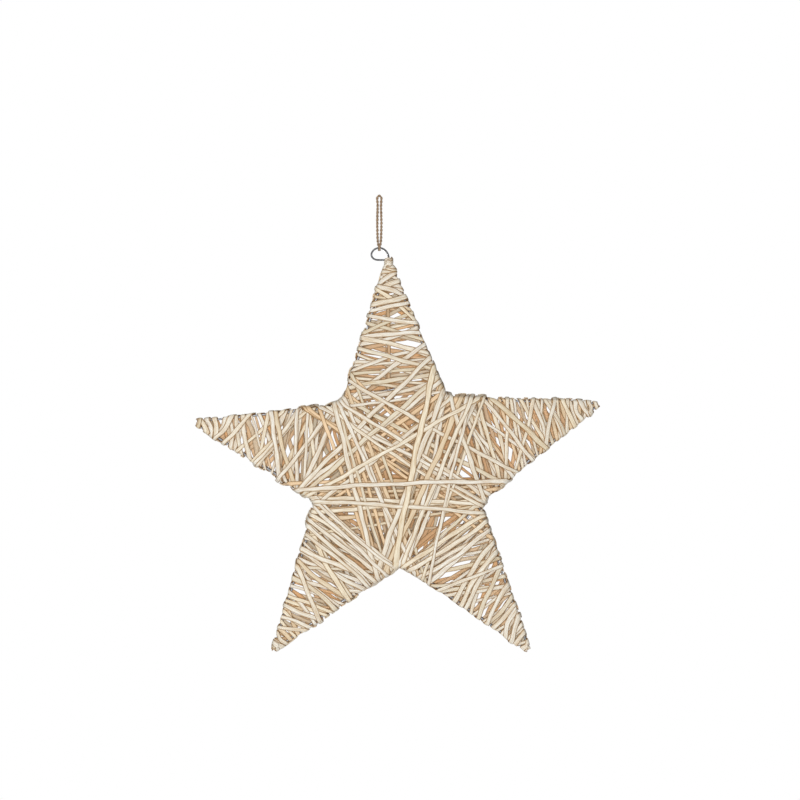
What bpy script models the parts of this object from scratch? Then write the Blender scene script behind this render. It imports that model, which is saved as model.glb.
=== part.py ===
"""Hanging willow star: a five-armed double wire frame wound with peeled willow skeins.

Metres, +Z up, the front faces -Y. The origin is the underside of the jute loop's top
bend, where a hook or nail carries the star. Sizes below are in millimetres.
"""
import math

import bmesh
import bpy
from mathutils import Vector

MM = 0.001

# Where the star's centre hangs from the hook (x, z).
CENTRE = (17.5, -274.8)

# Each arm: name, bearing of its tip, reach of its wire, half width and half depth of the
# wire at the tip, and how far past the tip its first willow turn begins.
ARMS = (
    ("right_arm", 20.0, 207.5, 1.6, 1.15, 0.5),
    ("top_arm", 92.3, 207.5, 2.2, 2.05, -3.0),
    ("left_arm", 164.8, 203.0, 1.6, 1.15, 0.5),
    ("lower_left_arm", 234.5, 204.0, 1.6, 1.15, 0.5),
    ("lower_right_arm", 307.2, 210.5, 1.6, 1.15, 0.5),
)
# The notch after each arm, counter-clockwise: bearing and radius of the wire's bend.
NOTCHES = ((58.6, 90.0), (127.0, 87.0), (196.0, 80.5), (271.8, 81.5), (343.0, 82.0))

WIRE_RADIUS = 1.0
NOTCH_HALF_DEPTH = 15.0
GAP = 0.3

STRIP_WIDTH = 5.0
STRIP_THICKNESS = 1.1
LAYER_STEP = STRIP_THICKNESS + GAP
FIRST_LAYER = WIRE_RADIUS + GAP + STRIP_THICKNESS / 2
ARM_LAYERS = 2
TURN_PITCH = 10.0
# The arm's last turn stays this far along the wire from the notch, where the hub skeins pass.
BASE_CLEARANCE = 10.5

# A turn's six bends: which wire it passes, on which face, and how far round the turn.
TURN_STATIONS = (
    ("left", -1, 0.0),
    ("right", -1, 0.36),
    ("right", 0, 0.43),
    ("right", 1, 0.5),
    ("left", 1, 0.86),
    ("left", 0, 0.93),
)
SIDE_BULGE = 0.6

PENTAGRAM_WIDTH = 4.4
PENTAGRAM_RUNS = 10
# Angle between a pentagram run and the notch that it bends over.
PENTAGRAM_SLANT = 20.0
# Each hub direction's layer above the arm skeins, on the front and on the back.
HUB_FRONT_LAYERS = (0, 4, 3, 2, 1)
HUB_BACK_LAYERS = (2, 1, 0, 4, 3)
HUB_FIRST_LINE = 8.8
HUB_LINE_PITCH = 7.0
HUB_TURNS = 3

EYE_CENTRE = (-16.9, 219.1)
EYE_HALF_WIDTH = 8.4
EYE_HALF_HEIGHT = 5.9
EYE_WIRE_RADIUS = 0.7
EYE_ARC = (-12.0, 285.0)
EYE_ARC_STEPS = 22
# The eye's two ends enter the tip this far below its point and run on this deep.
EYE_MOUTH = 1.0
EYE_TAIL = 13.0
EYE_TAIL_SPACING = 1.1

RING_INSET = 2 * WIRE_RADIUS + GAP
RING_STEPS = 40

JUTE_DIAMETER = 2.2
# The loop's route, from under the eye up its front strand, over the hook and down the
# back strand: x, y and z from the star's centre.
JUTE_ROUTE = (
    (-17.5, -0.16, 222.85),
    (-17.45, -1.5, 223.45),
    (-17.3, -2.15, 225.0),
    (-16.75, -1.9, 227.2),
    (-16.1, -0.8, 230.5),
    (-15.75, -0.1, 236.0),
    (-15.55, 0.0, 243.0),
    (-15.5, 0.0, 250.0),
    (-15.6, 0.0, 257.0),
    (-15.85, 0.0, 264.0),
    (-15.75, 0.0, 269.5),
    (-15.4, 0.0, 273.0),
    (-16.0, 0.0, 275.3),
    (-17.5, 0.0, 276.2),
    (-19.0, 0.0, 275.3),
    (-19.6, 0.0, 273.0),
    (-19.25, 0.0, 269.5),
    (-19.15, 0.0, 264.0),
    (-19.4, 0.0, 257.0),
    (-19.5, 0.0, 250.0),
    (-19.45, 0.0, 243.0),
    (-19.25, 0.1, 236.0),
    (-18.9, 0.8, 230.5),
    (-18.25, 1.9, 227.2),
    (-17.7, 2.15, 225.0),
    (-17.55, 1.5, 223.45),
    (-17.5, 0.16, 222.85),
)
JUTE_STEPS = 2

WILLOW = ("peeled_willow", (0.76, 0.69, 0.55), 0.0, 0.62)
FRAME_STEEL = ("frame_wire", (0.33, 0.34, 0.35), 0.9, 0.42)
EYE_STEEL = ("eye_wire", (0.38, 0.38, 0.39), 0.9, 0.35)
JUTE = ("jute_twine", (0.36, 0.25, 0.16), 0.0, 0.9)


def clear_scene():
    for obj in list(bpy.data.objects):
        bpy.data.objects.remove(obj, do_unlink=True)


def material(spec):
    name, colour, metallic, roughness = spec
    found = bpy.data.materials.get(name)
    if found:
        return found
    made = bpy.data.materials.new(name)
    made.use_nodes = True
    shader = made.node_tree.nodes["Principled BSDF"]
    shader.inputs["Base Color"].default_value = (*colour, 1.0)
    shader.inputs["Metallic"].default_value = metallic
    shader.inputs["Roughness"].default_value = roughness
    return made


def from_centre(plan, y):
    """A point given from the star's centre, in millimetres, as world metres."""
    return Vector((CENTRE[0] + plan.x, y, CENTRE[1] + plan.y)) * MM


def polar(bearing, radius):
    angle = math.radians(bearing)
    return Vector((math.cos(angle), math.sin(angle))) * radius


def quarter_turn(plan):
    return Vector((-plan.y, plan.x))


def add_object(name, mesh, spec, parent):
    obj = bpy.data.objects.new(name, mesh)
    bpy.context.scene.collection.objects.link(obj)
    obj.data.materials.append(material(spec))
    obj.parent = parent
    return obj


def skin_rings(name, rings, spec, parent, closed=False, smooth=True):
    """One closed solid through rings of points, capped at both ends unless closed."""
    bm = bmesh.new()
    loops = [[bm.verts.new(point) for point in ring] for ring in rings]
    sides = len(loops[0])
    pairs = list(zip(loops, loops[1:]))
    if closed:
        pairs.append((loops[-1], loops[0]))
    for first, second in pairs:
        for i in range(sides):
            j = (i + 1) % sides
            bm.faces.new((first[i], first[j], second[j], second[i]))
    if not closed:
        bm.faces.new(loops[0])
        bm.faces.new(loops[-1])
    bmesh.ops.recalc_face_normals(bm, faces=bm.faces)
    mesh = bpy.data.meshes.new(name)
    bm.to_mesh(mesh)
    bm.free()
    if smooth:
        mesh.shade_smooth()
        mesh.set_sharp_from_angle(angle=math.radians(50))
    return add_object(name, mesh, spec, parent)


def wire_rings(points, radius, sides, closed):
    """Rings round a bent wire, each in the plane that halves its bend."""
    count = len(points)
    rings = []
    for i, point in enumerate(points):
        before = points[i - 1] if closed or i else None
        after = points[(i + 1) % count] if closed or i < count - 1 else None
        incoming = (point - before).normalized() if before else (after - point).normalized()
        outgoing = (after - point).normalized() if after else incoming
        along = (incoming + outgoing).normalized()
        across = Vector((0, 1, 0))
        if abs(along.y) > 0.9:
            across = Vector((1, 0, 0))
        normal = across.cross(along).normalized()
        across = along.cross(normal)
        stretch = 1 / max(incoming.dot(along), 0.5)
        bend = outgoing - incoming
        mitre = bend.normalized() if bend.length > 1e-6 else normal
        ring = []
        for k in range(sides):
            angle = 2 * math.pi * (k + 0.5) / sides
            arm = normal * math.cos(angle) + across * math.sin(angle)
            arm += mitre * arm.dot(mitre) * (stretch - 1)
            ring.append(point + arm * radius * MM)
        rings.append(ring)
    return rings


def arm_wires(index):
    """The plan ends of an arm's two wires: tip and notch of the right and left ones."""
    name, bearing, reach, half_width, half_depth, start = ARMS[index]
    tip = polar(bearing, reach)
    side = quarter_turn(polar(bearing, 1.0))
    return {
        "right": (tip - side * half_width, polar(*NOTCHES[index - 1])),
        "left": (tip + side * half_width, polar(*NOTCHES[index])),
        "tip_depth": half_depth,
        "start": start,
        "name": name,
    }


def star_wire(name, face, parent):
    """One star outline bent from a single wire, its tips drawn in towards the middle."""
    points = []
    for index in range(len(ARMS)):
        arm = arm_wires(index)
        points.append(from_centre(arm["right"][0], face * arm["tip_depth"]))
        points.append(from_centre(arm["left"][0], face * arm["tip_depth"]))
        points.append(from_centre(arm["left"][1], face * NOTCH_HALF_DEPTH))
    rings = wire_rings(points, WIRE_RADIUS, 6, True)
    skin_rings(name, rings, FRAME_STEEL, parent, closed=True)


def spacer_wire(index, parent):
    """A short wire that holds the front and back stars apart at one notch."""
    plan = polar(*NOTCHES[index])
    half = NOTCH_HALF_DEPTH - WIRE_RADIUS - GAP
    ends = [from_centre(plan, -half), from_centre(plan, half)]
    rings = wire_rings(ends, WIRE_RADIUS, 6, False)
    skin_rings(f"spacer_wire_{index + 1}", rings, FRAME_STEEL, parent)


def ring_radius(bearing):
    """Radius of the brace ring, which passes just inside every spacer."""
    for index, (low, radius) in enumerate(NOTCHES):
        high, following = NOTCHES[(index + 1) % len(NOTCHES)]
        span = (high - low) % 360
        turned = (bearing - low) % 360
        if turned <= span:
            blend = (1 - math.cos(math.pi * turned / span)) / 2
            return radius + (following - radius) * blend - RING_INSET
    raise ValueError("bearing outside the ring")


def brace_ring(parent):
    points = []
    for step in range(RING_STEPS):
        bearing = 360 * step / RING_STEPS
        points.append(from_centre(polar(bearing, ring_radius(bearing)), 0.0))
    rings = wire_rings(points, WIRE_RADIUS, 6, True)
    skin_rings("brace_ring", rings, FRAME_STEEL, parent, closed=True)


def hanging_eye(parent):
    """A wire eye beside the top tip; both ends run down between the two star wires."""
    middle = Vector(EYE_CENTRE)
    arc = []
    for step in range(EYE_ARC_STEPS + 1):
        turn = EYE_ARC[0] + (EYE_ARC[1] - EYE_ARC[0]) * step / EYE_ARC_STEPS
        angle = math.radians(turn)
        bend = Vector((EYE_HALF_WIDTH * math.cos(angle), EYE_HALF_HEIGHT * math.sin(angle)))
        arc.append(middle + bend)
    bearing, reach = ARMS[1][1:3]
    inward = -polar(bearing, 1.0)
    tip = polar(bearing, reach)
    side = quarter_turn(-inward)
    right_mouth = tip - side * EYE_TAIL_SPACING
    left_mouth = tip + side * EYE_TAIL_SPACING
    first = [right_mouth + inward * EYE_TAIL, right_mouth + inward * EYE_MOUTH]
    last = [left_mouth + inward * EYE_MOUTH, left_mouth + inward * EYE_TAIL]
    plans = first + arc + last
    points = [from_centre(plan, 0.0) for plan in plans]
    rings = wire_rings(points, EYE_WIRE_RADIUS, 8, False)
    skin_rings("hanging_eye", rings, EYE_STEEL, parent)


def leg_point(arm, side, fraction, face, offset):
    """A point a given offset outside an arm's wires, that fraction from tip to notch."""
    tip, notch = arm[side]
    along = (notch - tip).normalized()
    outward = quarter_turn(along)
    if side == "left":
        outward = -outward
    depth = arm["tip_depth"] + (NOTCH_HALF_DEPTH - arm["tip_depth"]) * fraction
    reach = offset if face else offset + SIDE_BULGE
    plan = tip.lerp(notch, fraction) + outward * reach
    return from_centre(plan, face * (depth + offset))


def arm_skein(index, layer, parent):
    """A continuous willow skein wound from tip to base, each layer with its own lay."""
    arm = arm_wires(index)
    tip, notch = arm["left"]
    length = (notch - tip).length
    first = -arm["start"] / length
    last = 1 - BASE_CLEARANCE / length
    turns = round((last - first) * length / TURN_PITCH)
    offset = FIRST_LAYER + layer * LAYER_STEP
    half = STRIP_THICKNESS / 2
    edge = STRIP_WIDTH / 2 / length
    rings = []
    for turn in range(turns):
        for side, face, phase in TURN_STATIONS:
            if layer % 2:
                side = "left" if side == "right" else "right"
            fraction = first + (last - first) * (turn + phase) / turns
            rings.append([
                leg_point(arm, side, fraction - edge, face, offset - half),
                leg_point(arm, side, fraction - edge, face, offset + half),
                leg_point(arm, side, fraction + edge, face, offset + half),
                leg_point(arm, side, fraction + edge, face, offset - half),
            ])
    name = f"{arm['name']}_skein_{layer + 1}"
    skin_rings(name, rings, WILLOW, parent, smooth=False)


def layer_offset(layer):
    """Distance of a hub layer from the wires: it lies over the arm skeins."""
    return FIRST_LAYER + (ARM_LAYERS + layer) * LAYER_STEP


def notch_seat(notch):
    """Where pentagram runs bend over a notch: its middle, way out and bearing distance."""
    middle = polar(*NOTCHES[notch])
    before = (arm_wires(notch)["left"][0] - middle).normalized()
    after = (arm_wires((notch + 1) % len(ARMS))["right"][0] - middle).normalized()
    outward = (before + after).normalized()
    edge = PENTAGRAM_WIDTH / 2 / math.cos(math.radians(PENTAGRAM_SLANT))
    rise = outward.dot(before) / abs(quarter_turn(outward).dot(before))
    clearance = WIRE_RADIUS * math.hypot(1.0, rise) + GAP
    return middle, outward, edge * rise + clearance + STRIP_THICKNESS / 2


def pentagram_bend(notch, face, earlier, layer):
    """The ribbon's four corners where it bends over the edge of a notch."""
    middle, outward, bearing_out = notch_seat(notch)
    tangent = quarter_turn(outward)
    wall = bearing_out + earlier * LAYER_STEP
    half = STRIP_THICKNESS / 2
    edge = PENTAGRAM_WIDTH / 2 / math.cos(math.radians(PENTAGRAM_SLANT))
    corners = []
    for sideways, grow in ((-edge, -half), (-edge, half), (edge, half), (edge, -half)):
        plan = middle + outward * (wall + grow) + tangent * sideways
        y = face * (NOTCH_HALF_DEPTH + layer_offset(layer) + grow)
        corners.append(from_centre(plan, y))
    return corners


def pentagram_skein(parent):
    """A skein wound from every notch to the next but one, front and back in turn."""
    rings = []
    for crossing in range(PENTAGRAM_RUNS + 1):
        notch = (2 * crossing) % len(NOTCHES)
        earlier = crossing // len(NOTCHES)
        face = -1 if crossing % 2 else 1
        bends = []
        if crossing:
            bends.append(pentagram_bend(notch, face, earlier, (crossing - 1) // 2))
        if crossing < PENTAGRAM_RUNS:
            bends.append(pentagram_bend(notch, -face, earlier, crossing // 2))
        if len(bends) == 1:
            middle = [corner.copy() for corner in bends[0]]
            for corner in middle:
                corner.y = 0.0
            bends.insert(0 if crossing == 0 else 1, middle)
        rings.extend(bends)
    aligned = [rings[0]]
    for ring in rings[1:]:
        # A run's far edge swaps sides from one notch to the next.
        straight = (ring[0] - aligned[-1][0]).length + (ring[3] - aligned[-1][3]).length
        swapped = (ring[3] - aligned[-1][0]).length + (ring[0] - aligned[-1][3]).length
        if swapped < straight:
            ring = [ring[3], ring[2], ring[1], ring[0]]
        aligned.append(ring)
    skin_rings("hub_pentagram_skein", aligned, WILLOW, parent, smooth=False)


def hub_bend(wire, line_angle, side, line, face, layer):
    """The ribbon's corners over one leg, at a distance inside the line of two notches."""
    tip, notch = wire
    along = (tip - notch).normalized()
    outward = quarter_turn(along)
    if side == "right":
        outward = -outward
    wall = layer_offset(0) + SIDE_BULGE
    half = STRIP_THICKNESS / 2
    edge = STRIP_WIDTH / 2
    corners = []
    for sideways, grow in ((-edge, -half), (-edge, half), (edge, half), (edge, -half)):
        distance = (line + sideways) / math.sin(line_angle)
        plan = notch + along * distance + outward * (wall + grow)
        y = face * (NOTCH_HALF_DEPTH + layer_offset(layer) + grow)
        corners.append(from_centre(plan, y))
    return corners


def hub_skein(direction, parent):
    """A flat skein that runs beside the line of two notches, in towards the centre."""
    first_arm = arm_wires(direction)
    second_arm = arm_wires((direction + 3) % len(ARMS))
    legs = {"left": first_arm["left"], "right": second_arm["right"]}
    across = (legs["right"][1] - legs["left"][1]).normalized()
    angles = {}
    for side, (tip, notch) in legs.items():
        angles[side] = (tip - notch).angle(-across if side == "left" else across)
    layers = {-1: HUB_FRONT_LAYERS[direction], 1: HUB_BACK_LAYERS[direction]}
    stations = (("left", -1, 0.0), ("right", -1, 0.4), ("right", 1, 0.5), ("left", 1, 0.9))
    rings = []
    for turn in range(HUB_TURNS):
        for side, face, phase in stations:
            line = HUB_FIRST_LINE + HUB_LINE_PITCH * (turn + phase)
            ring = hub_bend(legs[side], angles[side], side, line, face, layers[face])
            rings.append(ring)
    skin_rings(f"hub_skein_{direction + 1}", rings, WILLOW, parent, smooth=False)


def smooth_route(points, steps):
    """Points on a Catmull-Rom curve through the given ones."""
    route = []
    last = len(points) - 1
    for i in range(last):
        p0 = points[max(i - 1, 0)]
        p1, p2 = points[i], points[i + 1]
        p3 = points[min(i + 2, last)]
        for step in range(steps):
            t = step / steps
            route.append(
                0.5 * (2 * p1 + (p2 - p0) * t + (2 * p0 - 5 * p1 + 4 * p2 - p3) * t * t
                       + (3 * p1 - p0 - 3 * p2 + p3) * t ** 3))
    route.append(points[last])
    return route


def jute_loop(parent):
    """The twine loop: one closed tube whose ends meet under the eye."""
    knots = [from_centre(Vector((x, z)), y) for x, y, z in JUTE_ROUTE]
    points = smooth_route(knots, JUTE_STEPS)
    curve = bpy.data.curves.new("jute_loop", "CURVE")
    curve.dimensions = "3D"
    curve.bevel_depth = JUTE_DIAMETER / 2 * MM
    curve.bevel_resolution = 2
    curve.use_fill_caps = True
    spline = curve.splines.new("POLY")
    spline.points.add(len(points) - 1)
    for knot, point in zip(spline.points, points):
        knot.co = (*point, 1.0)
    add_object("jute_loop", curve, JUTE, parent)


def build():
    clear_scene()
    star = bpy.data.objects.new("willow_star", None)
    bpy.context.scene.collection.objects.link(star)
    star_wire("front_star_wire", -1, star)
    star_wire("back_star_wire", 1, star)
    for index in range(len(NOTCHES)):
        spacer_wire(index, star)
    brace_ring(star)
    hanging_eye(star)
    jute_loop(star)
    for index in range(len(ARMS)):
        for layer in range(ARM_LAYERS):
            arm_skein(index, layer, star)
    pentagram_skein(star)
    for direction in range(len(NOTCHES)):
        hub_skein(direction, star)


build()
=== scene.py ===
"""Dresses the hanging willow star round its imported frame.

Plan places are millimetres from the star's centre, x to the right and z up, and the
front faces -Y. A strip of willow is laid as the weaver lays it: it crosses a face from
one leg of the frame to another, bends over the wire, runs along the wall between the
front and back wires and comes back over the other face. Every run rests on what already
lies there, so the order of the winding is the order of the layers.
"""

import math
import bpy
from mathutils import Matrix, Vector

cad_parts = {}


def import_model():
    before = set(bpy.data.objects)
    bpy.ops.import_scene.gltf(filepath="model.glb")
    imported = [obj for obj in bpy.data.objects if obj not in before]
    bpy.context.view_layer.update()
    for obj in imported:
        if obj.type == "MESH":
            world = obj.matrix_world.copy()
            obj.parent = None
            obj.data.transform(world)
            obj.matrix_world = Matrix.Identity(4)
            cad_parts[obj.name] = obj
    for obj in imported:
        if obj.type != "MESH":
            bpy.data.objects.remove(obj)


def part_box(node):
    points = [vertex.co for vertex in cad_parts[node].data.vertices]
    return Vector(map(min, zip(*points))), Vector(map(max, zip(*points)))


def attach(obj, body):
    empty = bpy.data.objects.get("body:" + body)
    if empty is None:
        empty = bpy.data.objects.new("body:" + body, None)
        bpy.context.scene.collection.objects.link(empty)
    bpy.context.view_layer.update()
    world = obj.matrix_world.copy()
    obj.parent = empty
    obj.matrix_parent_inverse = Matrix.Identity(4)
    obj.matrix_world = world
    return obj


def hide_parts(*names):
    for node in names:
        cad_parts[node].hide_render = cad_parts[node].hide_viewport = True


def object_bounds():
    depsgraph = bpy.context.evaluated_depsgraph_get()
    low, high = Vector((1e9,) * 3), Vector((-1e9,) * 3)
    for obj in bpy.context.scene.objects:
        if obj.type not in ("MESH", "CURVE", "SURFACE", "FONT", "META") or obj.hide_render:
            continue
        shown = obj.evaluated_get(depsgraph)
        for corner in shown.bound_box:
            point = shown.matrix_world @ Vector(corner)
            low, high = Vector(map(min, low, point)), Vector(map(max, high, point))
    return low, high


bl_info = {
    "name": "Willow Star",
    "version": (1, 0, 0),
    "blender": (4, 5, 0),
    "location": "3D View > Sidebar > Willow Star",
    "description": "Winds a hanging star of peeled willow strips on its wire frame",
    "category": "Object",
}

import bpy
import numpy as np
from mathutils import Vector

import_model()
CAD_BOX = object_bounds()

MM = 0.001
BODY = "root"

# The star's driving sizes, as the frame has them: name, bearing of the tip, reach of the
# wire, half width and half depth of the wire at the tip.
ARMS = (
    ("right_arm", 20.0, 207.5, 1.6, 1.15),
    ("top_arm", 92.3, 207.5, 2.2, 2.05),
    ("left_arm", 164.8, 203.0, 1.6, 1.15),
    ("lower_left_arm", 234.5, 204.0, 1.6, 1.15),
    ("lower_right_arm", 307.2, 210.5, 1.6, 1.15),
)
# The notch after each arm: bearing and radius of the wires' corner.
NOTCHES = ((58.6, 90.0), (127.0, 87.0), (196.0, 80.5), (271.8, 81.5), (343.0, 82.0))
WIRE_RADIUS = 1.0
NOTCH_HALF_DEPTH = 15.0
# How far inside the notches the brace ring passes.
RING_INSET = 2.3

# The height maps of the winding: cell size, half the side of a face's map, cells across a
# wall and the height of a bare cell.
FRONT, BACK = -1, 1
CELL = 0.5
PLAN_REACH = 230.0
WALL_ROWS = 33
EMPTY = -1000.0

# The edges that strips bend round: how far a leg's map runs on past the tip, half the
# length of a notch's seat and of the part of it that holds strips, how far up the legs a
# notch has wire, and how far out a strip beside a corner counts round it.
LEG_PAST_TIP = 4.0
SEAT_HALF_MAP = 9.0
SEAT_HALF = 3.0
NOTCH_WIRE = 14.0
CORNER_FILL = 6.5
# The stem of strips above the top tip.
STEM_HALF_WIDTH = 1.7
STEM_HALF_DEPTH = 1.7
STEM_LENGTH = 9.5

# How a strip lies. Its support is felt at five places over most of its width, it banks by
# at most a share of its width, and its back is domed by a share of its thickness.
ACROSS = np.array((1.0, 0.5, 0.0, -0.5, -1.0))
FELT_WIDTH = 0.94
MOST_BANK = 0.42
DOME = 0.35
# The furthest it comes out from the star's middle plane, and the least square and most
# sloping way in which it's taken to meet an edge.
MOST_HALF_DEPTH = 25.6
LEAST_SQUARE = 0.3
MOST_SLOPE = 1.1
# How far a bend round a wire reaches along it, and how straight the strip goes on from it.
BEND_REACH = 2.6
WALL_PULL = 0.7
# Spacing of a strip's rings on a face and on a wall.
FACE_RINGS = 2.6
WALL_RINGS = 2.2
# How far down the wall a strip's end lies.
END_SHARE = 0.55
# How high the layers pile on the faces and on the walls before they press together.
FACE_NEST = 3.0
WALL_NEST = 1.1


# ---------------------------------------------------------------- plan of the frame

def polar(bearing, radius):
    angle = math.radians(bearing)
    return np.array((math.cos(angle), math.sin(angle))) * radius


def quarter_turn(plan):
    return np.array((-plan[1], plan[0]))


def unit(vector):
    return vector / np.linalg.norm(vector)


def star_centre():
    """World x and z of the star's centre, in millimetres, from the frame's own wire."""
    low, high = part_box("front_star_wire")
    tips = [polar(bearing, reach) for _, bearing, reach, _, _ in ARMS]
    sides = [quarter_turn(polar(bearing, 1.0)) * half for _, bearing, _, half, _ in ARMS]
    ends = np.array([tip + s * side for tip, side in zip(tips, sides) for s in (-1, 1)])
    middle = (ends.min(0) + ends.max(0)) / 2
    centre = np.array((low.x + high.x, low.z + high.z)) / 2 / MM - middle
    spread = np.array((high.x - low.x, high.z - low.z)) / MM - (ends.max(0) - ends.min(0))
    if np.abs(spread - 2 * WIRE_RADIUS).max() > 1.5:
        raise RuntimeError(f"the frame's wire isn't the star drawn here: {spread}")
    return centre


CENTRE = star_centre()


def world(plan, y):
    """Plan points and depths, in millimetres, as world points in metres."""
    plan = np.asarray(plan, float)
    y = np.broadcast_to(y, plan.shape[:-1])
    return np.stack((CENTRE[0] + plan[..., 0], y, CENTRE[1] + plan[..., 1]), -1) * MM


class Edge:
    """A straight stretch of the double frame that strips bend round.

    A place on it is d, the distance along it, and v, from -1 at the front wire to 1 at
    the back wire. Its wall map holds how far out the winding already reaches."""

    def __init__(self, origin, along, outward, low, high, depth_at):
        self.origin, self.along, self.outward = origin, along, outward
        self.low, self.high, self.depth_at = low, high, depth_at
        self.neighbours = []
        self.nest = WALL_NEST
        self.reach = low, high - 1.0
        self.wall = np.full((int((high - low) / CELL) + 1, WALL_ROWS), EMPTY)
        d = low + CELL * np.arange(self.wall.shape[0])
        v = np.linspace(-1, 1, WALL_ROWS)
        from_wire = (1 - np.abs(v))[None, :] * depth_at(d)[:, None]
        near = from_wire < WIRE_RADIUS
        bulge = np.sqrt(np.maximum(WIRE_RADIUS ** 2 - from_wire ** 2, 0))
        self.wall[near] = bulge[near]

    def plan(self, d):
        return self.origin + np.asarray(d, float)[..., None] * self.along

    def cells(self, d, v):
        rows = np.rint((np.asarray(d) - self.low) / CELL).astype(int)
        columns = np.rint((np.asarray(v) + 1) / 2 * (WALL_ROWS - 1)).astype(int)
        return (np.clip(rows, 0, self.wall.shape[0] - 1),
                np.clip(columns, 0, WALL_ROWS - 1))

    def support(self, d, v):
        return self.wall[self.cells(d, v)]

    def pile(self, d, v, offset):
        """Raises the wall map to a strip's outer face, here and on what adjoins."""
        np.maximum.at(self.wall, self.cells(d, v), offset)
        places = self.plan(d) + np.asarray(offset)[..., None] * self.outward
        for other in self.neighbours:
            across = (places - other.origin) @ other.along
            out = (places - other.origin) @ other.outward
            near = (across > other.low) & (across < other.high)
            np.maximum.at(other.wall, other.cells(across[near], np.asarray(v)[near]),
                          np.minimum(out[near], CORNER_FILL))


def leg_edge(index, side):
    """The wall of one leg of an arm; d runs from the tip to the notch."""
    _, bearing, reach, half_width, half_depth = ARMS[index]
    across = quarter_turn(polar(bearing, 1.0))
    turn = 1 if side == "left" else -1
    tip = polar(bearing, reach) + across * half_width * turn
    notch = polar(*NOTCHES[index if side == "left" else index - 1])
    length = np.linalg.norm(notch - tip)
    along = (notch - tip) / length
    outward = quarter_turn(along) * -turn

    def depth_at(d):
        share = np.clip(np.asarray(d, float) / length, 0, 1)
        return half_depth + (NOTCH_HALF_DEPTH - half_depth) * share

    return Edge(tip, along, outward, -LEG_PAST_TIP, length, depth_at)


def seat_edge(index):
    """The short seat in a notch, square to the notch's bearing."""
    bearing, _ = NOTCHES[index]
    outward = polar(bearing, 1.0)
    return Edge(polar(*NOTCHES[index]), quarter_turn(outward), outward,
                -SEAT_HALF_MAP, SEAT_HALF_MAP,
                lambda d: np.full(np.shape(d), NOTCH_HALF_DEPTH))


def stem_edge(side):
    """One side of the stem above the top tip, where the eye's ends are bound in."""
    _, bearing, reach, _, _ = ARMS[1]
    turn = 1 if side == "left" else -1
    across = quarter_turn(polar(bearing, 1.0)) * turn
    return Edge(polar(bearing, reach) + across * STEM_HALF_WIDTH, -polar(bearing, 1.0),
                across, -STEM_LENGTH, 1.0,
                lambda d: np.full(np.shape(d), STEM_HALF_DEPTH))


# ---------------------------------------------------------------- laying strips

def taut(t, support):
    """The lowest profile that hangs nowhere below the support: a strip pulled tight."""
    hull = []
    for i in range(len(t)):
        while len(hull) > 1:
            a, b = hull[-2], hull[-1]
            rise = (support[b] - support[a]) * (t[i] - t[a])
            if rise > (support[i] - support[a]) * (t[b] - t[a]):
                break
            hull.pop()
        hull.append(i)
    return np.interp(t, t[hull], support[hull])


def ease(profile, times):
    """Rounds a profile's kinks a little and keeps its ends."""
    for _ in range(times):
        inner = (profile[:-2] + 2 * profile[1:-1] + profile[2:]) / 4
        profile = np.concatenate((profile[:1], inner, profile[-1:]))
    return profile


def nested(thickness, above, scale):
    """How much a strip adds to the winding: less and less as the layers press together."""
    return thickness / (1 + np.maximum(above, 0) / scale)


def rest_on(t, support, width, eased):
    """Left and right rail heights of a strip over a support sampled across it."""
    left = taut(t, np.maximum(support[:, 0], support[:, 1]))
    right = taut(t, np.maximum(support[:, 4], support[:, 3]))
    bank = MOST_BANK * width
    left, right = np.maximum(left, right - bank), np.maximum(right, left - bank)
    lift = taut(t, np.maximum(support[:, 2] - (left + right) / 2, 0))
    return ease(left + lift, eased), ease(right + lift, eased)


class Strip:
    """One length of willow: its two rails, in the star's millimetres, and its own character."""

    def __init__(self, width, thickness, tone):
        self.width, self.thickness, self.tone = width, thickness, tone
        self.slack = 0.0
        self.left, self.right = [], []

    def add(self, left, right):
        self.left.extend(left)
        self.right.extend(right)


def rail_points(plan, y):
    """Plan points and their depths as points of three numbers."""
    return np.concatenate((plan, np.broadcast_to(y, plan.shape[:-1])[..., None]), -1)


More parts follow.
